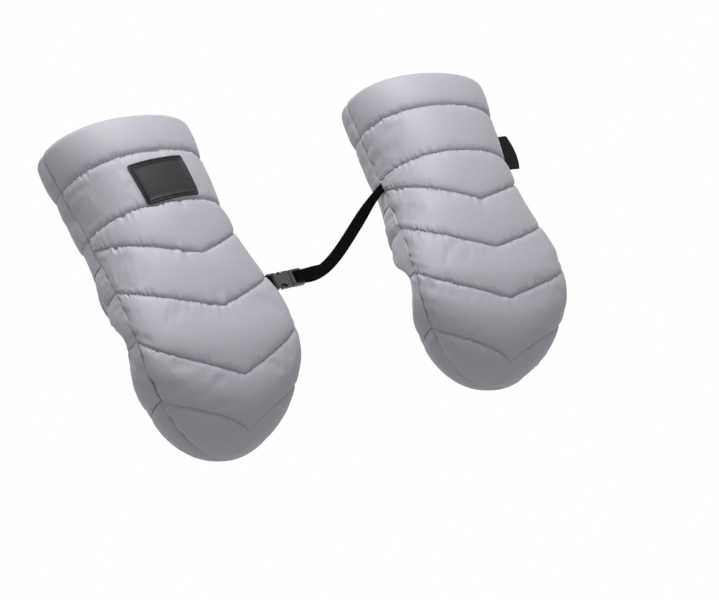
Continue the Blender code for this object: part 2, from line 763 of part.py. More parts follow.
def buckle_prong(name, side, parent):
    """A springy prong: a slim arm from the shoulder and a barbed head in the socket's window."""
    root_x, root_y = prong_root()
    inner = BUCKLE_WIDTH / 2 - SOCKET_WALL
    outer = root_y + PRONG_WIDTH / 2
    barb_x = -WINDOW_FROM_MOUTH - RUNNING
    tip_x = -WINDOW_FROM_MOUTH - WINDOW_LENGTH + RUNNING
    barb_y = inner + BARB
    head = barb_x - tip_x
    outline = [
        (0.0, outer),
        (barb_x, outer),
        (barb_x, barb_y),
        (barb_x - head * BARB_FLAT_SHARE, barb_y),
        (barb_x - head * BARB_SLOPE_SHARE, (barb_y + outer) / 2 + PRONG_INSET),
        (tip_x, outer - PRONG_INSET),
        (tip_x, outer - PRONG_WIDTH / 2),
        (barb_x - head * BARB_INNER_SHARE, outer - PRONG_WIDTH),
        (0.0, outer - PRONG_WIDTH),
    ]
    height = BUCKLE_THICK / 2 - SOCKET_WALL - RUNNING
    bm = bmesh.new()
    ring = [bm.verts.new((x - root_x, side * (y - root_y), -height)) for x, y in outline]
    face = bm.faces.new(ring)
    grown = bmesh.ops.extrude_face_region(bm, geom=[face])
    lifted = [v for v in grown["geom"] if isinstance(v, bmesh.types.BMVert)]
    bmesh.ops.translate(bm, verts=lifted, vec=(0, 0, 2 * height))
    bmesh.ops.recalc_face_normals(bm, faces=bm.faces[:])
    mesh = bpy.data.meshes.new(name)
    bm.to_mesh(mesh)
    bm.free()
    prong = add_object(name, mesh, BLACK_PLASTIC, parent)
    prong.location = (root_x, side * root_y, 0.0)
    return prong


def round_corner(corner, radius, start, end):
    """Points of an arc round a corner in the XZ plane, from one angle to another in degrees."""
    points = []
    for i in range(LOOP_STEPS // 2 + 1):
        turn = math.radians(start + (end - start) * i / (LOOP_STEPS // 2))
        points.append(corner + Vector((math.cos(turn) * radius, 0, math.sin(turn) * radius)))
    return points


def webbing_stub(mouth):
    """A short doubled length of webbing, from the left mitt's seam round the socket's bar."""
    bar_end = mouth.x - SOCKET_LENGTH - SLOT
    bar_start = bar_end - (FRAME_LENGTH - SLOT)
    deep = BUCKLE_THICK / 2 - BUCKLE_BEVEL
    radius = GAP + WEBBING_THICK / 2
    middle, along_seam = seam_piece(1, STUB_FROM_TOE, WEBBING, STUB_FULL_SHARE)
    seam = mitt_matrix(-1) @ middle
    y, z = mouth.y, mouth.z
    pinch = Vector((0, 0, WEBBING_THICK / 2 + GAP / 2))
    lift = deep + radius
    halfway = seam.lerp(Vector((bar_start, y, z)), STUB_PINCH_SHARE)
    points = [
        seam + pinch,
        halfway + pinch,
        Vector((bar_start, y, z + lift)),
        *round_corner(Vector((bar_end, y, z + deep)), radius, 90, 0),
        *round_corner(Vector((bar_end, y, z - deep)), radius, 0, -90),
        Vector((bar_start, y, z - lift)),
        halfway - pinch,
        seam - pinch,
    ]
    across = [Vector((0, 1, 0))] * len(points)
    across[0] = across[-1] = mitt_matrix(-1).to_3x3() @ Vector((along_seam.x, along_seam.y, 0))
    ribbon("left_webbing_stub", points, across, WEBBING / 2, WEBBING_THICK / 2, BLACK_WEBBING)


def connecting_strap(mouth):
    """One length of webbing: tail, turn round the ladder's inner bar, then the run to the right mitt."""
    slot = (PLUG_FRAME - 2 * PLUG_BAR) / 2
    frame = mouth.x + MOUTH_GAP + PLUG_SHOULDER
    bar_a = frame + slot
    bar_b = frame + 2 * slot + PLUG_BAR
    thin = BUCKLE_THICK / 2 - BUCKLE_BEVEL
    radius = GAP + WEBBING_THICK / 2
    lift = thin + radius
    y, z = mouth.y, mouth.z
    out = bar_b + PLUG_BAR
    middle, along_seam = seam_piece(-1, STRAP_FROM_TOE, WEBBING)
    anchor = mitt_matrix(1) @ middle
    leave = Vector((out + WEBBING / 2, y, z - lift))
    tail = [
        Vector((out + TAIL_LENGTH, y, z + lift + TAIL_LIFT)),
        Vector((out + TAIL_LENGTH * TAIL_BEND_SHARES[0], y, z + lift + TAIL_LIFT)),
        Vector((out + TAIL_LENGTH * TAIL_BEND_SHARES[1], y, z + lift + TAIL_LIFT * TAIL_BEND_LIFT_SHARE)),
        Vector((bar_b, y, z + lift)),
        *round_corner(Vector((bar_a, y, z + thin)), radius, 90, 180),
        *round_corner(Vector((bar_a, y, z - thin)), radius, 180, 270),
        Vector((bar_b, y, z - lift)),
        Vector((out, y, z - lift)),
    ]
    points = list(tail)
    span = anchor - leave
    b = leave + Vector((span.x, 0, 0)) * LEAVE_SHARE
    c = anchor - span * ARRIVE_SHARE
    for i in range(STRAP_STEPS + 1):
        t = i / STRAP_STEPS
        here = leave * (1 - t) ** 3 + b * 3 * t * (1 - t) ** 2 + c * 3 * t * t * (1 - t) + anchor * t**3
        here.z -= STRAP_SAG * math.sin(math.pi * t)
        points.append(here)
    across = []
    for i, _ in enumerate(points):
        if i < len(tail):
            across.append(Vector((0, 1, 0)))
            continue
        ahead = points[min(i + 1, len(points) - 1)] - points[i - 1]
        across.append(Vector((-ahead.y, ahead.x, 0)))
    across[-1] = mitt_matrix(1).to_3x3() @ Vector((along_seam.x, along_seam.y, 0))
    ribbon("connecting_strap", points, across, WEBBING / 2, WEBBING_THICK / 2, BLACK_WEBBING)


def build():
    clear_scene()
    left = mitt("left", -1)
    right = mitt("right", 1)
    rubber_patch(left)
    side_tag(right)
    mouth = buckle_mouth()
    buckle = empty("buckle_frame")
    buckle.location = mouth
    buckle_socket(buckle)
    buckle_plug(buckle)
    buckle_prong("buckle_cuff_prong", 1, buckle)
    buckle_prong("buckle_toe_prong", -1, buckle)
    webbing_stub(mouth)
    connecting_strap(mouth)


build()
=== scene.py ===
"""A pair of quilted hand muffs for a pram, dressed for the studio.

Laid out as a Blender add-on and run as a script. Each mitt is sewn from padded panels that are
inflated between their lines of quilting. All lengths are in metres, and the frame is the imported
model's: the origin on the axis of the handlebar, +X along it, +Y to the cuffs, +Z up from the fronts.
"""

import math

import bmesh
import bpy
import numpy as np
from mathutils import Matrix, Vector


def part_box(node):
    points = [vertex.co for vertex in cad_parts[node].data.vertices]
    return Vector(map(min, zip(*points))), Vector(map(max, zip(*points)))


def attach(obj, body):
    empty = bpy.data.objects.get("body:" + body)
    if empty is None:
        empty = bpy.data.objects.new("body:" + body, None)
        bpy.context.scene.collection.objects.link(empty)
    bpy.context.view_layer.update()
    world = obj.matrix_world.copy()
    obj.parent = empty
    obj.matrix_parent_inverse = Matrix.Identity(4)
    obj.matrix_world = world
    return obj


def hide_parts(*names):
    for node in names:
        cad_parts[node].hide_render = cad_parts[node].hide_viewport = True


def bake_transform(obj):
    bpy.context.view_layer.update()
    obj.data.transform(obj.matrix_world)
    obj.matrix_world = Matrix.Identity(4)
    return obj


bl_info = {
    "name": "Quilted hand muffs",
    "version": (1, 0, 0),
    "blender": (4, 5, 0),
    "location": "View3D > Sidebar > Hand muffs",
    "description": "Sews and dresses a pair of padded pram hand muffs with their strap, buckle and studio",
    "category": "Object",
}

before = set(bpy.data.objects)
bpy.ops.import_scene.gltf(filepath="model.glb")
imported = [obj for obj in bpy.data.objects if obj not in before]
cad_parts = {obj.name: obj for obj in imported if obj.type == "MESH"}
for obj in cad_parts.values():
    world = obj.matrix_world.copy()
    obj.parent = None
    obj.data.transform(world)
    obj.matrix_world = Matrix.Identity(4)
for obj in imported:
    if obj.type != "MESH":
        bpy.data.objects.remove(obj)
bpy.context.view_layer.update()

MM = 0.001

# The cut of a mitt, measured from the tip of its toe
LENGTH = 0.279
BAR_FROM_TOE = 0.100
WRIST_FROM_TOE = 0.200
FOLD_FROM_TOE = 0.045
SLIT_END_FROM_TOE = 0.168
FLAP_END_FROM_TOE = 0.203
TOE_ROUNDING = 0.085
PLACES = (0.0, BAR_FROM_TOE, WRIST_FROM_TOE, LENGTH)
UNDER_PLACES = (0.0, FOLD_FROM_TOE, BAR_FROM_TOE, SLIT_END_FROM_TOE, WRIST_FROM_TOE, LENGTH)
HALF_WIDTHS = (0.068, 0.068, 0.0577, 0.0650)
TOPS = (0.0610, 0.0610, 0.0590, 0.0510)
SEAMS = (0.0260, 0.0375, 0.0057, -0.0010)
UNDERS = (0.0290, 0.0310, 0.0360, 0.0330, 0.0340, 0.0410)
FRONT_POWER = 2.2
UNDER_POWER = 2.4
TOE_POWER = 2.0
TOE_CROWN = 0.8

# How far the right-hand side of a mitt is drawn in above the bar
WAIST = 0.0042
WAIST_ABOVE_BAR = 0.0480
WAIST_REACH = 0.0260
WAIST_FROM_MIDDLE = 0.0180
WAIST_FADE = 0.0500

# The plies, and how the quilting draws them in
PADDED = 0.0089
LINING = 0.0015
PLY_GAP = 0.0003
GROOVE = 0.0003
GROOVE_REACH = 0.0007
SEAM_HOLD = 0.0011
SEAM_GAP = 0.0004
VALLEY = 0.0021
TIP_CROWDING = 1.6

# Each panel's seed for its folds, and the strength of its puckers above and below a line
PANELS = {
    "front": (40, (0.8, 1.25)),
    "wrist_back": (60, (0.6, 0.9)),
    "toe_cup": (80, (0.0, 0.9)),
    "flap": (100, (0.8, 0.8)),
}
GUSSET_SEED = 120
CHANNEL_SHARES = (0.58, 0.42)
SIDE_SHARES = (0.25, 0.75)

# The cloth run that fills a shell: how far a point may move, its frames and the wadding's pressure
PANEL_CAP = 0.0022
GUSSET_CAP = 0.0040
FILL_FRAMES = 14
FILL_PRESSURE = 4.0
MITT_MIDDLE = (0.0, 0.0, 0.012)

# The sewing thread, and one stitch: shares of its length, and its fullness there
THREAD_RADIUS = 0.00026
STITCH_RINGS = ((0.10, 0.35), (0.22, 0.9), (0.5, 1.0), (0.78, 0.9), (0.90, 0.35))
STITCH_SIDES = 6

# The lines of quilting: where each meets the seams and how far it dips at the middle
LINES = (
    (0.0, 0.0),
    (0.045, 0.037),
    (0.091, 0.037),
    (0.137, 0.037),
    (0.183, 0.037),
    (0.1943, 0.0),
    (0.2421, 0.0),
    (LENGTH, 0.0),
)
LEFT_LINES = tuple((place, dip + 0.0100 * (number == 2)) for number, (place, dip) in enumerate(LINES))
MITT_LINES = {"left": LEFT_LINES, "right": LINES}
ROWS = 22
COLUMNS = 192
WRIST_COLUMNS = 144
TOE_ROWS = 30
TOE_COLUMNS = 128
FLAP_COLUMNS = 112
GUSSET_ROWS = 24
GUSSET_COLUMNS = 30

# The closing flap and the gussets
BAR_CLEAR_HEIGHT = 0.0225
ARCH_HALF_LENGTH = 0.0550
ARCH_POWER = 4.5
GUSSET_HEM = 0.0060
GUSSET_BULGE = (0.0008, 0.0036)
GUSSET_THICK = (0.0075, 0.0050)
GUSSET_FOLDS = (0.006, 0.010)
FLAP_HEM_AT_FOLD = 0.0080
FLAP_HEM_AT_BAR = 0.0315
FLAP_HALF_AT_SLIT_END = 0.0380
FLAP_HALF_AT_END = 0.0320
FLAP_LIFT_FROM_TOE = 0.108
FLAP_CORNER = 0.0120
FLAP_CHANNELS = 3
FLAP_HEM = 0.0018
FLAP_BLEND = 0.012
STACK = 0.0131

# The patch, the folded tag, the webbing and the parts of the buckle that it runs through
PATCH_HALF_WIDTH = 0.0240
PATCH_HALF_HEIGHT = 0.0183
PATCH_CORNER = 0.0019
PATCH_BORDER = 0.0034
PATCH_ASIDE = -0.0050
PATCH_OVER_LINE = 0.0018
PATCH_TURN = 3.5
PATCH_BASE = 0.0004
PATCH_RIDGES = (
    (0.0006, 0.0),
    (0.0, 0.0003),
    (0.0, 0.0011),
    (0.0003, 0.0015),
    (0.0009, 0.0016),
    (0.0014, 0.0014),
    (0.0017, 0.0009),
    (0.0021, 0.0008),
    (0.0024, 0.0012),
    (0.0028, 0.0014),
    (0.0032, 0.0012),
    (0.0035, 0.0009),
)
PATCH_BED_HALF = 0.022
PATCH_BED = (0.1980, 0.2300)
FRONT_RADIUS_AT_PATCH = 0.058
TAG_HEIGHT = 0.0352
TAG_REACH = 0.0242
TAG_THICK = 0.0006
TAG_FOLD = 0.0016
TAG_FROM_TOE = 0.2026
TAG_TILT = 24.0
TAG_DROOP = 0.0024
TAG_NARROWS = 0.20
WEBBING = 0.0100
WEBBING_THICK = 0.0011
BUCKLE_THICK = 0.0056
BUCKLE_BEVEL = 0.0009
SOCKET_LENGTH = 0.0150
FRAME_LENGTH = 0.0060
SLOT = 0.0031
PLUG_SHOULDER = 0.0026
PLUG_FRAME = 0.0092
PLUG_BAR = 0.0015
MOUTH_GAP = 0.0004
BUCKLE_HALF_WIDTH = 0.0070
BUTTON_FROM_MOUTH = 0.0089
SCALLOP_FROM_MOUTH = 0.0091
SCALLOP_RADIUS = 0.0036
SCALLOP_OUT = 0.0004
PAD = (0.0029, 0.0008, 0.0044)
PAD_PROUD = 0.00015
PAD_ROUNDING = 0.0003
MOULDED_EDGE = 0.00022
STUB_FROM_TOE = 0.1350
STUB_PINCH = 0.3
STRAP_FROM_TOE = 0.1870
STRAP_SAG = 0.0060
STRAP_LEAVES = 0.30
STRAP_ARRIVES = 0.33
TAIL_LENGTH = 0.0180
TAIL_LIFT = 0.0016
TAIL_BENDS = ((1.0, 0.0), (0.6, 0.0), (0.2, 0.7))
SEAM_CLEAR = 0.0013
INTO_SEAM = 0.0035

# How the mitts lie on the bar: half their spacing, then turn and roll in degrees
HALF_SPACING = 0.137
MITTS = {"left": (-1, -2.0, 3.0), "right": (1, -10.5, -3.0)}
BODIES = {"left": "left_muff", "right": "right_muff"}
FLAP_BODIES = {"left": "left_closing_flap", "right": "right_closing_flap"}


def linear(code):
    """An sRGB hex colour as linear red, green and blue."""
    parts = [int(code[i : i + 2], 16) / 255 for i in (1, 3, 5)]
    return tuple(c / 12.92 if c <= 0.04045 else ((c + 0.055) / 1.055) ** 2.4 for c in parts)


# The shape of a mitt


def along(place, places, values):
    """A smooth curve through values at places."""
    places, values = np.asarray(places, float), np.asarray(values, float)
    place = np.asarray(place, float)
    slopes = np.gradient(values, places)
    i = np.clip(np.searchsorted(places, place) - 1, 0, len(places) - 2)
    span = places[i + 1] - places[i]
    t = (place - places[i]) / span
    rise = (2 * t**3 - 3 * t**2 + 1) * values[i] + (3 * t**2 - 2 * t**3) * values[i + 1]
    lean = (t**3 - 2 * t**2 + t) * slopes[i] + (t**3 - t**2) * slopes[i + 1]
    return rise + span * lean


def ease(share):
    share = np.clip(share, 0.0, 1.0)
    return share * share * (3 - 2 * share)


def toe_share(v):
    """How far the rounded toe has opened at v: 0 at the tip, 1 past the rounding."""
    left = 1 - np.clip(v / TOE_ROUNDING, 0.0, 1.0)
    return (1 - left**TOE_POWER) ** (1 / TOE_POWER)


def seam_height(v):
    return toe_share(v) ** 2 * along(v, PLACES, SEAMS)


def top_height(v):
    return toe_share(v) ** TOE_CROWN * along(v, PLACES, TOPS)


def under_depth(v):
    return toe_share(v) ** TOE_CROWN * along(v, UNDER_PLACES, UNDERS)


def section_points(angle, v, depth, power, reach):
    """Points of a rounded section: angle 0 is the right seam, pi the left one."""
    across = np.cos(angle)
    half = along(v, PLACES, HALF_WIDTHS)
    x = np.sign(across) * np.abs(across) ** (2 / power) * (half - depth) * toe_share(v)
    z = seam_height(v) + reach * np.maximum(np.sin(angle), 0.0) ** (2 / power)
    y = depth + v * (LENGTH - depth) / LENGTH - BAR_FROM_TOE
    return np.stack([x, y, z], -1)


def front_points(angle, v, depth):
    reach = top_height(v) - seam_height(v) - depth * toe_share(v)
    return section_points(angle, v, depth, FRONT_POWER, reach)


def under_points(angle, v, depth):
    reach = under_depth(v) + seam_height(v) - depth * toe_share(v)
    return section_points(angle, v, depth, UNDER_POWER, -reach)


def under_angle(v, z):
    """The angle at which the under side has come down to z."""
    drop = (seam_height(v) - z) / (seam_height(v) + under_depth(v))
    return np.arcsin(np.clip(drop, 0.0, 1.0) ** (UNDER_POWER / 2))


def mitt_matrix(side):
    """Where a mitt lies on the bar."""
    sign, turn, roll = MITTS[side]
    turned = Matrix.Rotation(math.radians(turn), 4, "Z") @ Matrix.Rotation(math.radians(roll), 4, "Y")
    return Matrix.Translation((sign * HALF_SPACING, 0, 0)) @ turned


def drawn_in(points):
    """The strap's pull draws the right-hand side of each mitt in a little above the bar."""
    points = np.array(points, float)
    share = ease((points[..., 0] - WAIST_FROM_MIDDLE) / WAIST_FADE)
    points[..., 0] -= WAIST * share * np.exp(-(((points[..., 1] - WAIST_ABOVE_BAR) / WAIST_REACH) ** 2))
    return points


def placed(points, side):
    """Points of a mitt, moved to where that mitt lies."""
    matrix = np.array(mitt_matrix(side))
    return drawn_in(points) @ matrix[:3, :3].T + matrix[:3, 3]


# How the grids of a panel are laid out: v is the place, t runs across a channel, s from seam to seam


class Layout:
    """Where the points of a panel's grid are, before they are placed on a surface."""

    def __init__(self, v, angle, t, s, channel):
        self.v, self.angle, self.t, self.s, self.channel = v, angle, t, s, channel
        self.rows, self.columns = v.shape


def channel_steps(lines, rows):
    """The channel and the share of it at each row of a panel; rows stand closer beside the lines."""
    count = len(lines) - 1
    step = np.arange(count * rows + 1) / rows
    channel = np.minimum(step.astype(int), count - 1)
    even = step - channel
    return channel, 0.3 * even + 0.35 * (1 - np.cos(math.pi * even))


def front_layout(side):
    lines = MITT_LINES[side]
    channel, t = channel_steps(lines, ROWS)
    spread = np.where(channel == 0, t**TIP_CROWDING, t)
    low = np.array([lines[k] for k in channel])
    high = np.array([lines[k + 1] for k in channel])
    line = low + (high - low) * spread[:, None]
    s = 1 - 2 * np.arange(COLUMNS + 1) / COLUMNS
    v = line[:, :1] - line[:, 1:] * (1 - np.abs(s))
    whole = np.ones_like(v)
    angle = math.pi * (1 - s) / 2 * whole
    return Layout(v, angle, t[:, None] * whole, s * whole, channel)


def straight_layout(lines, rows, columns, first=None):
    """A grid whose rows are straight; first gives the angle of its hem at each place."""
    channel, t = channel_steps(lines, rows)
    low = np.array([lines[k] for k in channel])
    high = np.array([lines[k + 1] for k in channel])
    spread = np.where((channel == 0) & (low == 0.0), t**TIP_CROWDING, t)
    v = (low + (high - low) * spread)[:, None] * np.ones(columns + 1)
    s = (1 - 2 * np.arange(columns + 1) / columns) * np.ones_like(v)
    begin = 0.0 if first is None else first(v)
    angle = begin + (math.pi - 2 * begin) * (1 - s) / 2
    return Layout(v, angle, t[:, None] * np.ones_like(v), s, channel)


# Padding: puff, puckers and the cloth run


def rise_at_edge(s, reach):
    """0 at the seams, 1 past reach, which is a share of the half width."""
    return np.sqrt(np.clip(1 - (1 - np.clip((1 - np.abs(s)) / reach, 0.0, 1.0)) ** 2, 0.0, 1.0))


def wander(rng, count, waves):
    """A smooth random row of values, with about so many waves along it."""
    knots = rng.uniform(-1.0, 1.0, max(int(waves) * 2, 2) + 3)
    at = np.linspace(0, len(knots) - 1.001, count)
    i = at.astype(int)
    f = ease(at - i)
    return knots[i] * (1 - f) + knots[np.minimum(i + 1, len(knots) - 1)] * f


def run_along(points):
    """How far along a path each of its points is."""
    return np.append(0.0, np.cumsum(np.linalg.norm(np.diff(points, axis=0), axis=1)))


def from_lines(layout, grid):
    """How far each point of a grid is from the lines below and above it, along the cloth."""
    low = np.zeros((layout.rows, layout.columns))
    high = np.zeros_like(low)
    for k in range(layout.channel.max() + 1):
        rows = np.where(layout.channel == k)[0]
        ends = np.append(rows, rows[-1] + 1) if rows[-1] + 1 < layout.rows else rows
        run = np.zeros((len(ends), layout.columns))
        run[1:] = np.cumsum(np.linalg.norm(np.diff(grid[ends], axis=0), axis=2), axis=0)
        low[rows] = run[: len(rows)]
        high[rows] = (run[-1] - run)[: len(rows)]
    return low, high


def puckers(layout, grid, rng, height, strength, wave=0.0046, reach=0.0042, free_end=False):
    """Short folds that run out from each line of stitching, as heights over the grid."""
    last = layout.channel.max()
    folds = np.zeros((layout.rows, layout.columns))
    span = np.linalg.norm(np.diff(grid, axis=1), axis=2).sum(1).max()
    low, high = from_lines(layout, grid)
    for k in range(last + 1):
        rows = np.where(layout.channel == k)[0]
        for away, power in ((low, strength[0]), (high, 0.0 if free_end and k == last else strength[1])):
            for width, length, share in ((wave, reach, 1.0), (wave * 2.4, reach * 2.2, 0.28)):
                ridge = wander(rng, layout.columns, span / width)
                lively = np.clip(0.55 + 0.8 * wander(rng, layout.columns, span / width / 4), 0.0, 1.3)
                reaches = length * (0.8 + 0.5 * wander(rng, layout.columns, span / width / 2))
                fade = np.exp(-away[rows] / np.maximum(reaches, length / 4))
                rise = np.clip(away[rows] / (length * 0.15), 0.0, 1.0)
                folds[rows] += height * power * share * ridge * lively * fade * rise
    return folds


def dimples(layout, grid, pitch, deep=0.0007, reach=0.0012):
    """The holes of the needle beside each line, as depths over the grid."""
    holes = np.zeros((layout.rows, layout.columns))
    low, high = from_lines(layout, grid)
    for k in range(layout.channel.max() + 1):
        rows = np.where(layout.channel == k)[0]
        for away, line in ((low, rows[0]), (high, min(rows[-1] + 1, layout.rows - 1))):
            if line in (0, layout.rows - 1):
                continue
            wave = 0.5 + 0.5 * np.cos(2 * math.pi * run_along(grid[line]) / pitch)
            groove = GROOVE * np.exp(-away[rows] / GROOVE_REACH)
            holes[rows] -= deep * wave * np.exp(-away[rows] / reach) + groove
    return holes


def seam_folds(layout, grid, rng, height, edges, wave=0.0062, reach=0.0080):
    """Folds that cross the side seams and run a little way into the cloth, as heights over the grid."""
    folds = np.zeros((layout.rows, layout.columns))
    steps = np.linalg.norm(np.diff(grid, axis=1), axis=2)
    run = np.concatenate([np.zeros((layout.rows, 1)), np.cumsum(steps, axis=1)], axis=1)
    length = np.linalg.norm(np.diff(grid, axis=0), axis=2).sum(0).max()
    for edge, away in ((0, run), (1, run[:, -1:] - run)):
        if not edges[edge]:
            continue
        for width, far, share in ((wave, reach, 1.0), (wave * 2.3, reach * 1.9, 0.8)):
            ridge = wander(rng, layout.rows, length / width)[:, None]
            lively = np.clip(0.6 + 0.7 * wander(rng, layout.rows, length / width / 3), 0.0, 1.3)[:, None]
            held = 1 - np.exp(-away / SEAM_HOLD)
            folds += height * edges[edge] * share * ridge * lively * np.exp(-away / far) * held
    return folds * np.sin(math.pi * layout.t) ** 0.4 * np.clip((LENGTH - layout.v) / 0.02, 0.0, 1.0)


def normals(grid):
    """Directions that stand off a grid."""
    down = np.gradient(grid, axis=0)
    over = np.gradient(grid, axis=1)
    n = np.cross(down, over)
    n /= np.maximum(np.linalg.norm(n, axis=2, keepdims=True), 1e-9)
    return n


def outward(grid):
    """Directions that stand off a grid, away from the middle of the mitt."""
    n = normals(grid)
    from_middle = (grid - np.array(MITT_MIDDLE)) * np.array([1.0, 0.0, 1.0])
    inner = slice(1, -1)
    return n if (n[inner, inner] * from_middle[inner, inner]).sum() > 0 else -n


def grid_faces(rows, columns, first=0, turned=False):
    """The four-sided faces of a grid of points."""
    r, c = np.meshgrid(np.arange(rows - 1), np.arange(columns - 1), indexing="ij")
    a = (first + r * columns + c).ravel()
    quads = np.stack([a, a + 1, a + columns + 1, a + columns], 1)
    return quads[:, ::-1] if turned else quads


def inflate(grid, sewn, slack, cap):
    """Fills a sheet that is sewn down at some points, with Blender's cloth, and gives its new points.

    slack is the spare cloth as a share of its length, and cap is how far a point may move.
    """
    rows, columns = grid.shape[:2]
    turned = (outward(grid) * normals(grid)).sum() > 0
    mesh = bpy.data.meshes.new("sheet_to_fill")
    mesh.from_pydata(grid.reshape(-1, 3).tolist(), [], grid_faces(rows, columns, turned=turned).tolist())
    sheet = new_object("sheet_to_fill", mesh)
    scene = bpy.context.scene
    group = sheet.vertex_groups.new(name="sewn")
    group.add(np.where(sewn.ravel())[0].tolist(), 1.0, "REPLACE")
    step = sheet.modifiers.new("Fill", "CLOTH")
    cloth = step.settings
    cloth.quality = 5
    cloth.mass = 0.3
    cloth.tension_stiffness = cloth.compression_stiffness = 15
    cloth.shear_stiffness = 5
    cloth.bending_stiffness = 0.1
    cloth.use_pressure = True
    cloth.uniform_pressure_force = FILL_PRESSURE
    cloth.shrink_min = -slack
    cloth.vertex_group_mass = "sewn"
    cloth.effector_weights.gravity = 0
    step.collision_settings.use_collision = False
    for number in range(1, FILL_FRAMES + 1):
        scene.frame_set(number)
    filled = sheet.evaluated_get(bpy.context.evaluated_depsgraph_get())
    points = np.empty(rows * columns * 3)
    filled.data.vertices.foreach_get("co", points)
    points = points.reshape(rows, columns, 3)
    scene.frame_set(1)
    bpy.data.objects.remove(sheet)
    bpy.data.meshes.remove(mesh)
    moved = points - grid
    out = outward(grid)
    inward = np.minimum((moved * out).sum(2, keepdims=True) + cap / 3, 0.0)
    moved = moved - inward * out
    far = np.linalg.norm(moved, axis=2, keepdims=True)
    return grid + moved * np.minimum(1.0, cap / np.maximum(far, 1e-9))


def sewn_points(layout, ends=(True, True)):
    """Which points of a grid are sewn down: its two seams, its lines of quilting and its ends."""
    sewn = np.zeros((layout.rows, layout.columns), bool)
    sewn[:, 0] = sewn[:, -1] = True
    sewn[layout.t[:, 0] == 0.0] = True
    sewn[0] |= ends[0]
    sewn[-1] |= ends[1]
    return sewn


# Meshes


def new_object(name, data):
    """An object in the scene's own collection."""
    made = bpy.data.objects.new(name, data)
    bpy.context.scene.collection.objects.link(made)
    return made


def add_piece(name, points, faces, side, finish, uv=None):
    """An object from points and faces; side moves a mitt's own points to where it lies."""
    points = np.asarray(points, float).reshape(-1, 3)
    if side:
        points = placed(points, side)
    mesh = bpy.data.meshes.new(name)
    mesh.from_pydata(points.tolist(), [], [list(map(int, f)) for f in faces])
    bm = bmesh.new()
    bm.from_mesh(mesh)
    if uv is not None:
        layer = bm.loops.layers.uv.new("weave")
        bm.verts.index_update()
        for face in bm.faces:
            for loop in face.loops:
                loop[layer].uv = uv[loop.vert.index]
    bmesh.ops.remove_doubles(bm, verts=bm.verts[:], dist=2e-6)
    bmesh.ops.dissolve_degenerate(bm, edges=bm.edges[:], dist=1e-7)
    bmesh.ops.recalc_face_normals(bm, faces=bm.faces[:])
    bm.to_mesh(mesh)
    bm.free()
    mesh.shade_smooth()
    mesh.set_sharp_from_angle(angle=math.radians(60))
    piece = new_object(name, mesh)
    mesh.materials.append(finish)
    return piece


def solid_between(outer, inner):
    """Points, faces and weave coordinates of the closed form between two grids of the same layout."""
    rows, columns = outer.shape[:2]
    count = rows * columns
    points = np.concatenate([outer.reshape(-1, 3), inner.reshape(-1, 3)])
    faces = [grid_faces(rows, columns), grid_faces(rows, columns, count, True)]
    index = np.arange(count).reshape(rows, columns)
    for edge in (index[:, 0], index[:, -1], index[0, :], index[-1, :]):
        low, high = edge[:-1], edge[1:]
        faces.append(np.stack([low, high, high + count, low + count], 1))
    across = np.zeros((rows, columns))
    across[:, 1:] = np.cumsum(np.linalg.norm(np.diff(outer, axis=1), axis=2), axis=1)
    across -= across[:, columns // 2 : columns // 2 + 1]
    down = np.zeros((rows, columns))
    down[1:] = np.cumsum(np.linalg.norm(np.diff(outer, axis=0), axis=2), axis=0)
    down = down[:, columns // 2 : columns // 2 + 1] * np.ones(columns)
    uv = np.stack([across, down], 2).reshape(-1, 2)
    return points, np.concatenate(faces), np.concatenate([uv, uv])


def flat_cut(grid):
    """The width, length and area of the cloth cut for a surface, before any padding moves it."""
    wide = np.linalg.norm(np.diff(grid, axis=1), axis=2).sum(1).max()
    long = np.linalg.norm(np.diff(grid, axis=0), axis=2).sum(0).max()
    corners = np.cross(grid[1:, 1:] - grid[:-1, :-1], grid[1:, :-1] - grid[:-1, 1:])
    return float(wide), float(long), float(np.linalg.norm(corners, axis=2).sum() / 2)


def on_path(place, at, values):
    """Values of a path's points at a distance along it."""
    return np.array([np.interp(place, at, values[:, k]) for k in range(3)])


def stitch_row(path, out, pitch):
    """Short rounded stitches along a path, each a small tapered tube with closed ends."""
    at = run_along(path)
    points, faces = [], []
    for i in range(int(at[-1] / pitch)):
        base = len(points)
        for share, fat in STITCH_RINGS:
            place = (i + share) * pitch
            here, up = on_path(place, at, path), on_path(place, at, out)
            ahead = on_path(place + pitch / 8, at, path) - here
            if np.linalg.norm(ahead) < 1e-9:
                ahead = np.array([1.0, 0.0, 0.0])
            beside = np.cross(ahead, up)
            beside /= max(np.linalg.norm(beside), 1e-9)
            here = here + up * THREAD_RADIUS * (1.6 * fat - 0.6)
            for turn in np.arange(6) * math.pi / 3:
                points.append(here + (beside * math.cos(turn) + up * math.sin(turn)) * THREAD_RADIUS * fat)
        for ring in range(len(STITCH_RINGS) - 1):
            first = base + ring * STITCH_SIDES
            for k in range(STITCH_SIDES):
                a, b = first + k, first + (k + 1) % STITCH_SIDES
                faces.append([a, b, b + STITCH_SIDES, a + STITCH_SIDES])
        last = base + (len(STITCH_RINGS) - 1) * STITCH_SIDES
        faces += [[base + k for k in range(STITCH_SIDES)][::-1], [last + k for k in range(STITCH_SIDES)]]
    return points, faces


def add_stitches(name, side, outer, rows, body):
    """One piece that holds the rows of stitches of a finished panel."""
    sizes = bpy.context.scene.muff_sizes
    out = outward(outer)
    points, faces = [], []
    for row in rows:
        more, shapes = stitch_row(outer[row], out[row], sizes.stitch)
        faces += [[i + len(points) for i in face] for face in shapes]
        points += more
    stitches = add_piece(f"{side}_{name}_stitches", np.array(points), faces, side, thread())
    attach(stitches, body)


# Materials


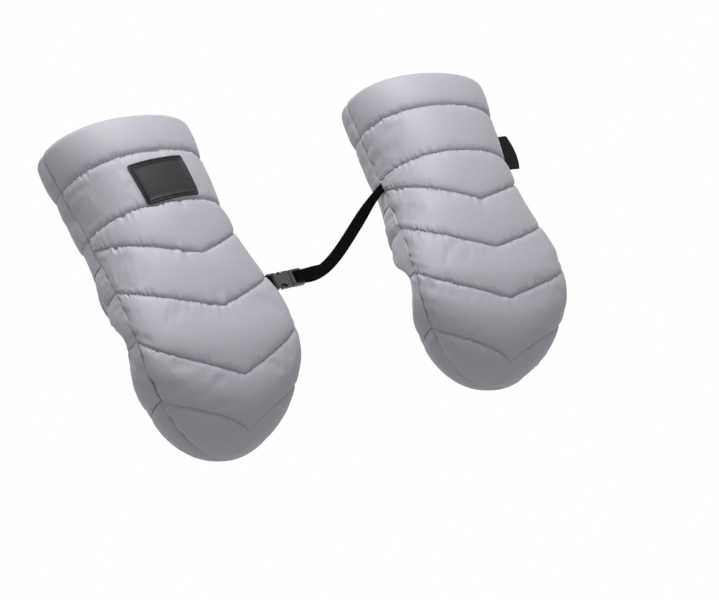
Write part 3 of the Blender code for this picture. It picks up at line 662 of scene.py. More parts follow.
def add_node(tree, kind, fields=None, values=None, links=None):
    """Adds a node, sets its fields and its sockets' values, and links other sockets to it."""
    node = tree.nodes.new(kind)
    for name, value in (fields or {}).items():
        setattr(node, name, value)
    for name, value in (values or {}).items():
        node.inputs[name].default_value = value
    for name, source in (links or {}).items():
        tree.links.new(source, node.inputs[name])
    return node


def start_material(name, colour, sockets):
    """A new material with its shader's uniform values set on its own sockets."""
    made = bpy.data.materials.new(name)
    made.use_nodes = True
    tree = made.node_tree
    shader = tree.nodes["Principled BSDF"]
    shader.inputs["Base Color"].default_value = (*colour, 1.0)
    for socket, value in sockets.items():
        shader.inputs[socket].default_value = value
    made.diffuse_color = (*colour, 1.0)
    return made, tree, shader


def maths(tree, operation, links, values=None):
    """What one operation makes of a material's values."""
    return add_node(tree, "ShaderNodeMath", {"operation": operation}, values, links).outputs[0]


def sine_of(tree, coordinate, period):
    """A wave along a coordinate in metres, once every period."""
    return maths(tree, "SINE", {0: maths(tree, "MULTIPLY", {0: coordinate}, {1: 2 * math.pi / period})})


def crossed_waves(tree, x, y, across, along_it):
    """The relief of threads that run both ways."""
    return maths(tree, "MULTIPLY", {0: sine_of(tree, x, across), 1: sine_of(tree, y, along_it)})


def as_share(tree, wave):
    """A wave between -1 and 1 as a share between 0 and 1."""
    return maths(tree, "MULTIPLY_ADD", {0: wave}, {1: 0.5, 2: 0.5})


def axes_of(tree, chart):
    """The first two coordinates of a chart, in metres."""
    parts = add_node(tree, "ShaderNodeSeparateXYZ", links={0: chart})
    return parts.outputs["X"], parts.outputs["Y"]


def weave_axes(tree):
    """The two directions of a cloth's threads, in metres along the cloth."""
    return axes_of(tree, add_node(tree, "ShaderNodeUVMap", {"uv_map": "weave"}).outputs["UV"])


def noise(tree, size, detail=3.0, roughness=0.5):
    """Noise whose blotches are about size across, in metres."""
    place = add_node(tree, "ShaderNodeTexCoord").outputs["Object"]
    values = {"Scale": 1 / size, "Detail": detail, "Roughness": roughness}
    return add_node(tree, "ShaderNodeTexNoise", values=values, links={"Vector": place}).outputs["Fac"]


def add_bump(tree, shader, height, distance, strength, under=None):
    """Bumps of a real height in metres on the shader, over others if there are any."""
    links = {"Height": height}
    if under:
        links["Normal"] = under
    node = add_node(tree, "ShaderNodeBump", values={"Strength": strength, "Distance": distance}, links=links)
    tree.links.new(node.outputs["Normal"], shader.inputs["Normal"])
    return node.outputs["Normal"]


def tinted(colour, factor):
    return tuple(min(c * factor, 1.0) for c in colour)


def shade_between(tree, shader, share, colour, dark, light):
    """The shader's colour runs with share from one tint of a colour to another."""
    mix = add_node(tree, "ShaderNodeMix", {"data_type": "RGBA"}, links={"Factor": share})
    mix.inputs["A"].default_value = (*tinted(colour, dark), 1.0)
    mix.inputs["B"].default_value = (*tinted(colour, light), 1.0)
    tree.links.new(mix.outputs["Result"], shader.inputs["Base Color"])


def woven_nylon(colour):
    """Calendered nylon taffeta: a close plain weave with a low soft sheen that creases finely."""
    sockets = {"Roughness": 0.57, "IOR": 1.53, "Sheen Weight": 0.10, "Sheen Roughness": 0.4}
    made, tree, shader = start_material("woven_nylon_taffeta", colour, sockets)
    # Real threads are 0.15 mm apart, too fine to show, so they are drawn 0.45 mm apart.
    weave = crossed_waves(tree, *weave_axes(tree), 0.90 * MM, 0.90 * MM)
    first = add_bump(tree, shader, noise(tree, 14 * MM, 4.0, 0.55), 0.5 * MM, 0.05)
    add_bump(tree, shader, weave, 0.03 * MM, 0.5, first)
    shade_between(tree, shader, noise(tree, 55 * MM, 2.0), colour, 0.965, 1.03)
    return made


def brushed_fleece(colour):
    """Polyester fleece, knitted and brushed: matt, with short tangled pile."""
    sockets = {"Roughness": 0.95, "IOR": 1.5, "Specular IOR Level": 0.2}
    sockets |= {"Sheen Weight": 0.45, "Sheen Roughness": 0.7}
    made, tree, shader = start_material("brushed_polyester_fleece", colour, sockets)
    tufts = noise(tree, 4.5 * MM, 3.0, 0.6)
    first = add_bump(tree, shader, tufts, 1.4 * MM, 0.9)
    add_bump(tree, shader, noise(tree, 1.6 * MM, 6.0, 0.7), 0.6 * MM, 0.9, first)
    # Painted shade and highlight: the colour follows the tufts' height, darker in the hollows between tufts
    # and lighter on their tops.
    shade_between(tree, shader, tufts, colour, 0.72, 1.25)
    return made


def woven_webbing(colour):
    """Polyester webbing woven on a narrow loom: ribs across it, and a tight edge."""
    sockets = {"Roughness": 0.92, "IOR": 1.57, "Specular IOR Level": 0.05, "Sheen Roughness": 0.5}
    made, tree, shader = start_material("woven_polyester_webbing", colour, sockets)
    ribs = crossed_waves(tree, *weave_axes(tree), 1.6 * MM, 1.3 * MM)
    first = add_bump(tree, shader, ribs, 0.16 * MM, 0.9)
    add_bump(tree, shader, noise(tree, 0.7 * MM, 3.0, 0.6), 0.08 * MM, 0.6, first)
    # Painted shade and highlight: the colour follows the ribs' relief, darker in the grooves between ribs and
    # lighter on their tops.
    shade_between(tree, shader, as_share(tree, ribs), colour, 0.6, 1.6)
    return made


def moulded_acetal(colour):
    """Acetal from a mould with a spark-eroded grain: dark and satin."""
    sockets = {"Roughness": 0.38, "IOR": 1.48, "Specular IOR Level": 0.55}
    made, tree, shader = start_material("moulded_acetal", colour, sockets)
    add_bump(tree, shader, noise(tree, 0.35 * MM, 3.0, 0.6), 0.03 * MM, 0.5)
    shade_between(tree, shader, noise(tree, 5 * MM), colour, 0.9, 1.12)
    return made


def moulded_rubber(colour, name="moulded_soft_rubber", roughness=0.62):
    """Soft rubber pressed in a mould: matt with a fine sanded grain."""
    sockets = {"Roughness": roughness, "IOR": 1.52, "Specular IOR Level": 0.28}
    made, tree, shader = start_material(name, colour, sockets)
    add_bump(tree, shader, noise(tree, 0.5 * MM, 4.0, 0.65), 0.04 * MM, 0.55)
    shade_between(tree, shader, noise(tree, 9 * MM), colour, 0.9, 1.1)
    return made


def satin_label(colour):
    """Damask label tape: satin-woven polyester with fine diagonal threads."""
    sockets = {"Roughness": 0.75, "IOR": 1.55, "Specular IOR Level": 0.14}
    made, tree, shader = start_material("satin_woven_label", colour, sockets)
    x, y = weave_axes(tree)
    twill = sine_of(tree, maths(tree, "ADD", {0: x, 1: y}), 0.5 * MM)
    add_bump(tree, shader, twill, 0.05 * MM, 0.7)
    # Painted shade and highlight: the colour follows the twill's relief, darker in the grooves between
    # threads and lighter on their tops.
    shade_between(tree, shader, as_share(tree, twill), colour, 0.75, 1.5)
    return made


def spun_thread(colour):
    """Spun polyester sewing thread: twisted, soft and slightly lighter than the cloth."""
    sockets = {"Roughness": 0.7, "IOR": 1.55, "Sheen Weight": 0.2, "Sheen Roughness": 0.5}
    made, tree, shader = start_material("spun_polyester_thread", colour, sockets)
    add_bump(tree, shader, noise(tree, 0.25 * MM, 2.0, 0.6), 0.04 * MM, 0.8)
    shade_between(tree, shader, noise(tree, 2 * MM), colour, 0.9, 1.1)
    return made


def closure_tape(colour, name, tuft):
    """Hook-and-loop tape: woven nylon with rows of hooks, or brushed into loops."""
    sockets = {"Roughness": 0.85, "IOR": 1.53, "Sheen Weight": 0.3, "Sheen Roughness": 0.6}
    made, tree, shader = start_material(name, colour, sockets)
    place = add_node(tree, "ShaderNodeTexCoord").outputs["Object"]
    rows = crossed_waves(tree, *axes_of(tree, place), tuft, tuft)
    first = add_bump(tree, shader, rows, 0.3 * MM, 0.8)
    add_bump(tree, shader, noise(tree, tuft / 2, 4.0, 0.7), 0.3 * MM, 0.8, first)
    shade_between(tree, shader, noise(tree, tuft), colour, 0.6, 1.5)
    return made


def finish_of(make, *settings):
    """The material that a function makes, made once."""
    key = f"{make.__name__}{settings[1:]}"
    for made in bpy.data.materials:
        if made.get("made_by") == key:
            return made
    made = make(*settings)
    made["made_by"] = key
    return made


# What a user may change


def length_setting(name, description, default, **more):
    return bpy.props.FloatProperty(name=name, description=description, default=default, unit="LENGTH", **more)


def colour_setting(name, description, code):
    shown = {"subtype": "COLOR", "size": 3, "min": 0.0, "max": 1.0}
    return bpy.props.FloatVectorProperty(name=name, description=description, default=linear(code), **shown)


class MuffSizes(bpy.types.PropertyGroup):
    front_puff: length_setting(
        "Front puff", "How far the front's wadding stands between two lines of quilting", 0.0030, min=0.0
    )
    under_puff: length_setting("Under puff", "How far the other panels' wadding stands", 0.0028, min=0.0)
    slack: bpy.props.FloatProperty(
        name="Slack",
        description="Spare cloth between the lines of quilting, as a share of its length",
        default=0.0045,
        min=0.0,
        max=0.1,
        subtype="FACTOR",
    )
    pucker: length_setting("Pucker", "Height of the short folds beside the stitching", 0.0013, min=0.0)
    seam_fold: length_setting("Seam fold", "Height of the folds that cross the side seams", 0.0013, min=0.0)
    stitch: length_setting("Stitch", "Length of one stitch", 0.0034, min=0.001)
    rim: length_setting("Cuff rim", "How far the rim of the cuff is rolled", 0.0050)


class MuffColours(bpy.types.PropertyGroup):
    nylon: colour_setting("Shell", "Colour of the nylon shell", "#A9A9B0")
    fleece: colour_setting("Lining", "Colour of the fleece lining", "#A2A2AA")
    webbing: colour_setting("Webbing", "Colour of the strap", "#040405")
    plastic: colour_setting("Buckle", "Colour of the buckle", "#38383A")
    rubber: colour_setting("Patch", "Colour of the rubber patch", "#202023")


def chosen(name):
    return tuple(getattr(bpy.context.scene.muff_colours, name))


def nylon():
    return finish_of(woven_nylon, chosen("nylon"))


def thread():
    return finish_of(spun_thread, tinted(chosen("nylon"), 1.15))


# Panels

FRONTS = {}


def rim_depth(v, rim):
    """The rim of the cuff rolls in over its last stretch."""
    past = np.clip((v - (LENGTH - rim)) / rim, 0.0, 1.0)
    return 0.9 * rim * (1 - np.sqrt(1 - past**2 * 0.98))


def fullness(layout, grid, options):
    """How full the padding stands: flat channels with narrow valleys at the stitching."""
    low, high = from_lines(layout, grid)
    below, above = 1 - np.exp(-low / VALLEY), 1 - np.exp(-high / VALLEY)
    dome = np.sin(math.pi * layout.t)
    if options.get("cuff"):
        last = (layout.channel == layout.channel.max())[:, None]
        above = np.where(last, 1 - layout.t**3 * 0.8, above)
        dome = np.where(last, np.sin(math.pi * layout.t) * (1 - 0.5 * layout.t), dome)
    side = 1 - np.abs(layout.s) ** 4
    flat, round_share = CHANNEL_SHARES
    least, rest = SIDE_SHARES
    return (flat * below * above + round_share * dome) * (least + rest * side)


def seam_pinch(s, v, reach=0.06, deep=0.0016):
    """A seam draws the cloth in along both edges of a panel."""
    return deep * (1 - rise_at_edge(s, reach)) * toe_share(v)


def sew_panel(name, side, layout, options):
    """A padded panel: a shell filled between its lines of stitching, and the lining inside it."""
    sizes = bpy.context.scene.muff_sizes
    front = name == "front"
    surface, puff = (front_points, sizes.front_puff) if front else (under_points, sizes.under_puff)
    seed, strength = PANELS[name]
    body = BODIES[side]
    rng = np.random.default_rng(seed + list(MITTS).index(side))
    v, s = layout.v, layout.s
    lift = options.get("lift", np.zeros_like(v))
    flat_from = options.get("flat_until", 0.0)
    base = surface(layout.angle, v, lift)
    swell = fullness(layout, base, options) * (v >= flat_from)
    start = puff * swell * toe_share(v)
    rim = rim_depth(v, sizes.rim) if options.get("cuff") else 0.0
    hem = options.get("hem", 0.0) * (1 - rise_at_edge(s, 0.10))
    pinch = seam_pinch(s, v) if not options.get("hem") else 0.0
    outer = surface(layout.angle, v, lift + rim + pinch + hem - start)
    folds = puckers(layout, outer, rng, sizes.pucker, strength, free_end=bool(options.get("cuff")))
    folds *= rise_at_edge(s, 0.03) * (1 + 0.5 * s * options.get("livelier", 0))
    folds += seam_folds(layout, outer, rng, sizes.seam_fold, options.get("seams", (1.0, 1.0)))
    folds *= np.clip(toe_share(v) * 1.5 - 0.4, 0.0, 1.0)
    folds += dimples(layout, outer, sizes.stitch)
    if flat_from:
        folds *= v >= flat_from
    outer = outer + outward(outer) * folds[..., None]
    sewn = sewn_points(layout, ends=options.get("ends", (True, True)))
    if "held" in options:
        sewn |= options["held"]
    tip = 1 if options.get("tip") else 0
    if tip:
        sewn[1] = True
    filled = inflate(outer[tip:], sewn[tip:], sizes.slack, PANEL_CAP)
    outer = np.concatenate([outer[:tip], filled])
    mid = surface(layout.angle, v, lift + PADDED - LINING - PLY_GAP + rim * 0.2 - hem * 0.6)
    top = surface(layout.angle, v, lift + PADDED - LINING + rim * 0.2 - hem * 0.6)
    low = surface(layout.angle, v, lift + PADDED + 0.0012 * swell - rim * 0.5 - hem * 0.8)
    points, faces, uv = solid_between(outer, mid)
    shell = add_piece(f"{side}_{name}_cloth", points, faces, side, nylon(), uv=uv)
    points, faces, uv = solid_between(low[:, ::2], top[:, ::2])
    fleece = finish_of(brushed_fleece, chosen("fleece"))
    lining = add_piece(f"{side}_{name}_fleece", points, faces, side, fleece, uv=uv)
    nodes = [f"{side}_{name}_{ply}" for ply in ("shell", "wadding", "lining")]
    for piece, replaced in ((shell, ("shell", "wadding")), (lining, ("lining",))):
        if options.get("blend"):
            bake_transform(piece)
        else:
            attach(piece, body)
        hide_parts(*(n for n in nodes if n.rsplit("_", 1)[1] in replaced))
    wide, long, area = flat_cut(surface(layout.angle, v, lift + PADDED - LINING / 2))
    return outer


class MUFF_OT_front_panels(bpy.types.Operator):
    """Sew the quilted fronts with their chevrons"""

    bl_idname = "muff.front_panels"
    bl_label = "Quilted fronts"

    def execute(self, context):
        for side in MITTS:
            layout = front_layout(side)
            options = {"cuff": True, "tip": True, "livelier": -1}
            if side == "left":
                across = layout.s * math.pi / 2 * FRONT_RADIUS_AT_PATCH
                low, high = PATCH_BED
                beside = np.abs(across - PATCH_ASIDE) < PATCH_BED_HALF
                options["held"] = beside & (layout.v > low) & (layout.v < high)
            outer = sew_panel("front", side, layout, options)
            FRONTS[side] = outer
            lines = range(ROWS, ROWS * (len(LINES) - 1), ROWS)
            add_stitches("quilting", side, outer, lines, BODIES[side])
        return {"FINISHED"}


class MUFF_OT_wrist_panels(bpy.types.Operator):
    """Sew the panels behind the wrists"""

    bl_idname = "muff.wrist_panels"
    bl_label = "Wrist panels"

    def execute(self, context):
        lines = (SLIT_END_FROM_TOE, LINES[5][0], LINES[6][0], LENGTH)
        options = {"cuff": True, "flat_until": LINES[5][0]}
        for side in MITTS:
            outer = sew_panel("wrist_back", side, straight_layout(lines, ROWS, WRIST_COLUMNS), options)
            add_stitches("wrist", side, outer, (ROWS, 2 * ROWS), BODIES[side])
        return {"FINISHED"}


class MUFF_OT_toe_cups(bpy.types.Operator):
    """Sew the cups under the toes"""

    bl_idname = "muff.toe_cups"
    bl_label = "Toe cups"

    def execute(self, context):
        options = {"tip": True, "seams": (2.2, 2.2)}
        layout = straight_layout((0.0, FOLD_FROM_TOE), TOE_ROWS, TOE_COLUMNS)
        for side in MITTS:
            sew_panel("toe_cup", side, layout, options)
        return {"FINISHED"}


def flap_lift(v):
    span = SLIT_END_FROM_TOE - FLAP_LIFT_FROM_TOE
    return -STACK * ease((v - FLAP_LIFT_FROM_TOE) / span)


def width_angle(v, half):
    """The angle at which the flap is that wide to each side."""
    wide = along(v, PLACES, HALF_WIDTHS) - flap_lift(v)
    return math.acos(min(half / wide, 1.0) ** (UNDER_POWER / 2))


def flap_first(v):
    """The angle at which the flap's edge lies: near the seams at the fold, a tongue at its end."""
    places = (FOLD_FROM_TOE, BAR_FROM_TOE, SLIT_END_FROM_TOE, FLAP_END_FROM_TOE)
    angles = (
        under_angle(FOLD_FROM_TOE, -FLAP_HEM_AT_FOLD),
        under_angle(BAR_FROM_TOE, -FLAP_HEM_AT_BAR),
        width_angle(SLIT_END_FROM_TOE, FLAP_HALF_AT_SLIT_END),
        width_angle(FLAP_END_FROM_TOE, FLAP_HALF_AT_END),
    )
    return along(v, places, angles)


def flap_layout():
    clear = FOLD_FROM_TOE + SEAM_GAP
    step = (FLAP_END_FROM_TOE - clear) / FLAP_CHANNELS
    lines = [clear + i * step for i in range(FLAP_CHANNELS + 1)]
    layout = straight_layout(lines, ROWS, FLAP_COLUMNS, flap_first)
    share = ease((layout.v - SLIT_END_FROM_TOE) / (FLAP_END_FROM_TOE - SLIT_END_FROM_TOE))
    layout.v = layout.v - FLAP_CORNER * share * (1 - np.sqrt(1 - np.abs(layout.s) ** 3))
    return layout


class MUFF_OT_flaps(bpy.types.Operator):
    """Sew the flaps that close behind the bar"""

    bl_idname = "muff.flaps"
    bl_label = "Closing flaps"

    def execute(self, context):
        for side in MITTS:
            layout = flap_layout()
            fold = under_points(math.pi / 2, np.array(FOLD_FROM_TOE), 0.0)
            past = under_points(math.pi / 2, np.array(FOLD_FROM_TOE + FLAP_BLEND), 0.0)
            fold, past = (tuple(placed(p, side)) for p in (fold, past))
            options = {
                "lift": flap_lift(layout.v),
                "hem": FLAP_HEM,
                "seams": (0.0, 0.0),
                "blend": (BODIES[side], FLAP_BODIES[side], fold, past),
            }
            outer = sew_panel("flap", side, layout, options)
            add_stitches("flap", side, outer, (ROWS, 2 * ROWS), FLAP_BODIES[side])
        return {"FINISHED"}


class MUFF_OT_gussets(bpy.types.Operator):
    """Sew the gussets that arch over the bar"""

    bl_idname = "muff.gussets"
    bl_label = "Side gussets"

    def execute(self, context):
        sizes = context.scene.muff_sizes
        for number, side in enumerate(MITTS):
            sign = MITTS[side][0]
            for name, hand in (("outer_gusset", sign), ("inner_gusset", -sign)):
                self.sew(side, name, hand, GUSSET_SEED + 2 * number + (hand > 0), sizes)
        return {"FINISHED"}

    def sew(self, side, name, hand, seed, sizes):
        rng = np.random.default_rng(seed)
        lines = (FOLD_FROM_TOE + SEAM_GAP, LINES[2][0], LINES[3][0], SLIT_END_FROM_TOE - SEAM_GAP)
        layout = straight_layout(lines, GUSSET_ROWS, GUSSET_COLUMNS)
        v = layout.v
        ahead = mitt_matrix(side).inverted().to_3x3() @ Vector((1, 0, 0))
        crossing = ahead * (hand * HALF_WIDTHS[1] / ahead.x)
        off = (v - BAR_FROM_TOE - crossing.y) / ARCH_HALF_LENGTH
        # The hem runs into its ends in a soft curve, which still stays clear of the bar.
        arch = np.maximum(1 - off * off, 0.0) ** ARCH_POWER * (BAR_CLEAR_HEIGHT + crossing.z + GUSSET_HEM)
        share = (1 - layout.s) / 2
        angle = under_angle(v, arch - GUSSET_HEM) * share
        swell = np.sin(math.pi * layout.t) ** 0.6 * np.sin(math.pi * (0.08 + 0.92 * share)) ** 0.6
        flip = np.array([hand, 1.0, 1.0])
        outer = under_points(angle, v, GUSSET_BULGE[0] - GUSSET_BULGE[1] * swell) * flip
        folds = puckers(layout, outer, rng, sizes.pucker, (0.9, 0.9), *GUSSET_FOLDS)
        folds += seam_folds(layout, outer, rng, sizes.seam_fold, (1.2, 0.5))
        outer = outer + outward(outer) * folds[..., None]
        outer = inflate(outer, sewn_points(layout), sizes.slack * 2, GUSSET_CAP)
        thick = GUSSET_THICK[0] - GUSSET_THICK[1] * ease((share - 0.55) / 0.45)
        inner = under_points(angle, v, thick) * flip
        points, faces, uv = solid_between(outer, inner)
        piece = add_piece(f"{side}_{name}_cloth", points, faces, side, nylon(), uv=uv)
        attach(piece, BODIES[side])
        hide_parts(f"{side}_{name}")


def at_grid(grid, row, column):
    """A point of a grid at fractions of a row and a column."""
    r = int(np.clip(row, 0, grid.shape[0] - 2))
    c = int(np.clip(column, 0, grid.shape[1] - 2))
    a, b = row - r, column - c
    low = grid[r, c] * (1 - b) + grid[r, c + 1] * b
    high = grid[r + 1, c] * (1 - b) + grid[r + 1, c + 1] * b
    return low * (1 - a) + high * a


def loops_to_piece(name, loops, side, finish, uv_loops=None, capped=True):
    """A closed piece from loops of points: quads between neighbours, and both ends filled if capped."""
    count = len(loops[0])
    points = np.concatenate(loops)
    faces = []
    for i in range(len(loops) - 1):
        for k in range(count):
            a, b = i * count + k, i * count + (k + 1) % count
            faces.append([a, b, b + count, a + count])
    if capped:
        last = (len(loops) - 1) * count
        faces += [list(range(count))[::-1], [last + k for k in range(count)]]
    uv = np.concatenate(uv_loops) if uv_loops is not None else points[:, :2]
    return add_piece(name, points, faces, side, finish, uv=uv)


def patch_outline(inset):
    """The patch's rounded outline, drawn in by inset, as close points about its middle."""
    w, h = PATCH_HALF_WIDTH - inset, PATCH_HALF_HEIGHT - inset
    r = min(max(PATCH_CORNER - inset * 0.5, 0.0004), h)
    corners = ((w - r, h - r), (-w + r, h - r), (-w + r, -h + r), (w - r, -h + r))
    made = []
    for quarter, (cx, cy) in enumerate(corners):
        for i in range(7):
            turn = math.radians(90 * quarter + 15 * i)
            made.append((cx + r * math.cos(turn), cy + r * math.sin(turn)))
    fine = []
    for here, there in zip(made, made[1:] + made[:1]):
        steps = max(int(math.dist(here, there) / 0.0025), 1)
        for k in range(steps):
            fine.append([p + (q - p) * k / steps for p, q in zip(here, there)])
    return np.array(fine)


class MUFF_OT_rubber_patch(bpy.types.Operator):
    """Mould the bare rubber patch with its ridged border"""

    bl_idname = "muff.rubber_patch"
    bl_label = "Rubber patch"

    def execute(self, context):
        colour = chosen("rubber")
        inner = [PATCH_HALF_HEIGHT * k / 6 for k in range(6, 1, -1)]
        profile = [(inset, 0.0) for inset in inner]
        profile += [*PATCH_RIDGES, *((inset, PATCH_RIDGES[-1][1]) for inset in inner[::-1])]
        count = len(patch_outline(0.0))
        loops, charts = [], []
        for inset, height in profile:
            chart = patch_outline(inset)
            made = self.on_cloth(chart, PATCH_BASE + height)
            if len(made) != count:
                at = np.linspace(0, len(made), count, endpoint=False)
                i = at.astype(int)
                f = (at - i)[:, None]
                made, chart = (row[i] * (1 - f) + row[(i + 1) % len(row)] * f for row in (made, chart))
            loops.append(made)
            charts.append(chart)
        finish = finish_of(moulded_rubber, colour)
        piece = loops_to_piece("left_patch_moulding", loops, "left", finish, charts, False)
        border = finish_of(moulded_rubber, tinted(colour, 0.3), "moulded_rubber_border", 0.5)
        piece.data.materials.append(border)
        chart = piece.data.uv_layers["weave"].data
        for face in piece.data.polygons:
            u, v = np.mean([chart[i].uv for i in face.loop_indices], axis=0)
            if min(PATCH_HALF_WIDTH - abs(u), PATCH_HALF_HEIGHT - abs(v)) < PATCH_BORDER:
                face.material_index = 1
        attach(piece, BODIES["left"])
        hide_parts("left_rubber_patch")
        return {"FINISHED"}

    def on_cloth(self, outline, height):
        """Points of an outline, turned and laid on the left front at a height over it."""
        grid = FRONTS["left"]
        out = outward(grid)
        middle = COLUMNS // 2
        rows_v = front_layout("left").v[:, middle]
        seat = grid[int(5.5 * ROWS)]
        reach = run_along(seat)
        reach -= reach[middle]
        centre_v = LINES[5][0] + PATCH_OVER_LINE + PATCH_HALF_HEIGHT
        turn = math.radians(PATCH_TURN)
        points = []
        for a, b in outline:
            beside = a * math.cos(turn) - b * math.sin(turn) + PATCH_ASIDE
            ahead = a * math.sin(turn) + b * math.cos(turn)
            row = float(np.interp(centre_v + ahead, rows_v, range(len(rows_v))))
            column = float(np.interp(-beside, reach, range(len(reach))))
            points.append(at_grid(grid, row, column) + at_grid(out, row, column) * height)
        return np.array(points)


# Webbing


def ribbon(name, path, across, half_width, half_thick, finish, steps=8):
    """A flat woven band along a path, with rounded edges; across is its width's direction."""
    path, across = np.array(path, float), np.array(across, float)
    across /= np.linalg.norm(across, axis=1, keepdims=True)
    ahead = np.gradient(path, axis=0)
    up = np.cross(across, ahead)
    up /= np.maximum(np.linalg.norm(up, axis=1, keepdims=True), 1e-9)
    at = run_along(path)
    loops, charts = [], []
    shape = [(-1 + 2 * i / steps, 1.0) for i in range(steps + 1)]
    shape = [(-1.0, 0.35), *[(x * 0.985, h) for x, h in shape], (1.0, 0.35)]
    ring = shape + [(x, -h) for x, h in shape[::-1]]
    for i in range(len(path)):
        made, chart = [], []
        for x, h in ring:
            made.append(path[i] + across[i] * half_width * x + up[i] * half_thick * h)
            chart.append((x * half_width + (0.05 if h < 0 else 0.0), at[i]))
        loops.append(np.array(made))
        charts.append(np.array(chart))
    return loops_to_piece(name, loops, None, finish, charts)


def smooth_path(points, count):
    """A finer path through the same points, rounded at each."""
    points = np.array(points, float)
    at = run_along(points)
    fine = np.linspace(0, at[-1], count)
    return np.stack([along(fine, at, points[:, k]) for k in range(points.shape[1])], 1)


class MUFF_OT_side_tag(bpy.types.Operator):
    """Fold the bare woven tag into the right mitt's seam"""

    bl_idname = "muff.side_tag"
    bl_label = "Side tag"

    def execute(self, context):
        finish = finish_of(satin_label, chosen("webbing"))
        middle, seam = seam_place(1, TAG_FROM_TOE + TAG_HEIGHT / 2, TAG_HEIGHT)
        tilt = math.radians(TAG_TILT)
        out = np.array([math.cos(tilt), 0.0, math.sin(tilt)])
        up = np.array([-math.sin(tilt), 0.0, math.cos(tilt)])
        radius = (TAG_FOLD + TAG_THICK) / 2
        wide = np.linspace(-1.0, 1.0, 33)
        bulge = 1 - TAG_NARROWS * ((1 + wide) / 2) ** 2.5 - 0.08 * ((1 - wide) / 2) ** 4
        straight = (TAG_REACH - radius) * bulge

        def layer(grow):
            """The outer or the inner face of the folded band: out along its top, round, and back."""
            rows, half = [], radius + grow
            shares = np.linspace(0.0, 1.0, 16)
            for share in shares:
                rows.append((-INTO_SEAM + (straight + INTO_SEAM) * share, half * min(1.0, 0.35 + share * 2)))
            for turn in np.linspace(0.0, math.pi, 13)[1:-1]:
                rows.append((straight + half * math.sin(turn), half * math.cos(turn)))
            for share in shares[::-1]:
                rows.append((-INTO_SEAM + (straight + INTO_SEAM) * share, -half * min(1.0, 0.35 + share * 2)))
            grid = []
            for far, height in rows:
                share = np.maximum(far, 0.0) / TAG_REACH
                bow = TAG_DROOP * (np.sin(math.pi * share) * 0.6 - share * share)
                place = middle + seam * (wide * TAG_HEIGHT / 2)[:, None]
                grid.append(place + out * np.reshape(far, (-1, 1)) + up * (height + bow)[:, None])
            return np.array(grid)

        points, faces, uv = solid_between(layer(TAG_THICK / 2), layer(-TAG_THICK / 2))
        tag = add_piece("right_folded_tag", points, faces, "right", finish, uv=uv)
        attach(tag, BODIES["right"])
        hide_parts("right_side_tag")
        return {"FINISHED"}


def seam_place(hand, place, width):
    """The middle and the direction of a stretch of side seam; hand 1 is the right seam."""
    angle = 0.0 if hand > 0 else math.pi
    ends = [front_points(np.array(angle), np.array(place + k * width / 2), 0.0) for k in (-1, 1)]
    ahead = ends[1] - ends[0]
    middle = (ends[0] + ends[1]) / 2 + np.array([hand * SEAM_CLEAR, 0.0, 0.0])
    return middle, ahead / np.linalg.norm(ahead)


def buckle_mouth():
    """Where the buckle's mouth is, from the solid of its socket."""
    low, high = (np.array(corner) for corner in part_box("buckle_socket"))
    return np.array([high[0], (low[1] + high[1]) / 2, (low[2] + high[2]) / 2])


def round_corner(x, y, z, radius, start, end, steps=8):
    """Points of an arc round a corner in the XZ plane, from one angle to another in degrees."""
    turns = np.radians(np.linspace(start, end, steps + 1))
    return [np.array([x + math.cos(t) * radius, y, z + math.sin(t) * radius]) for t in turns]


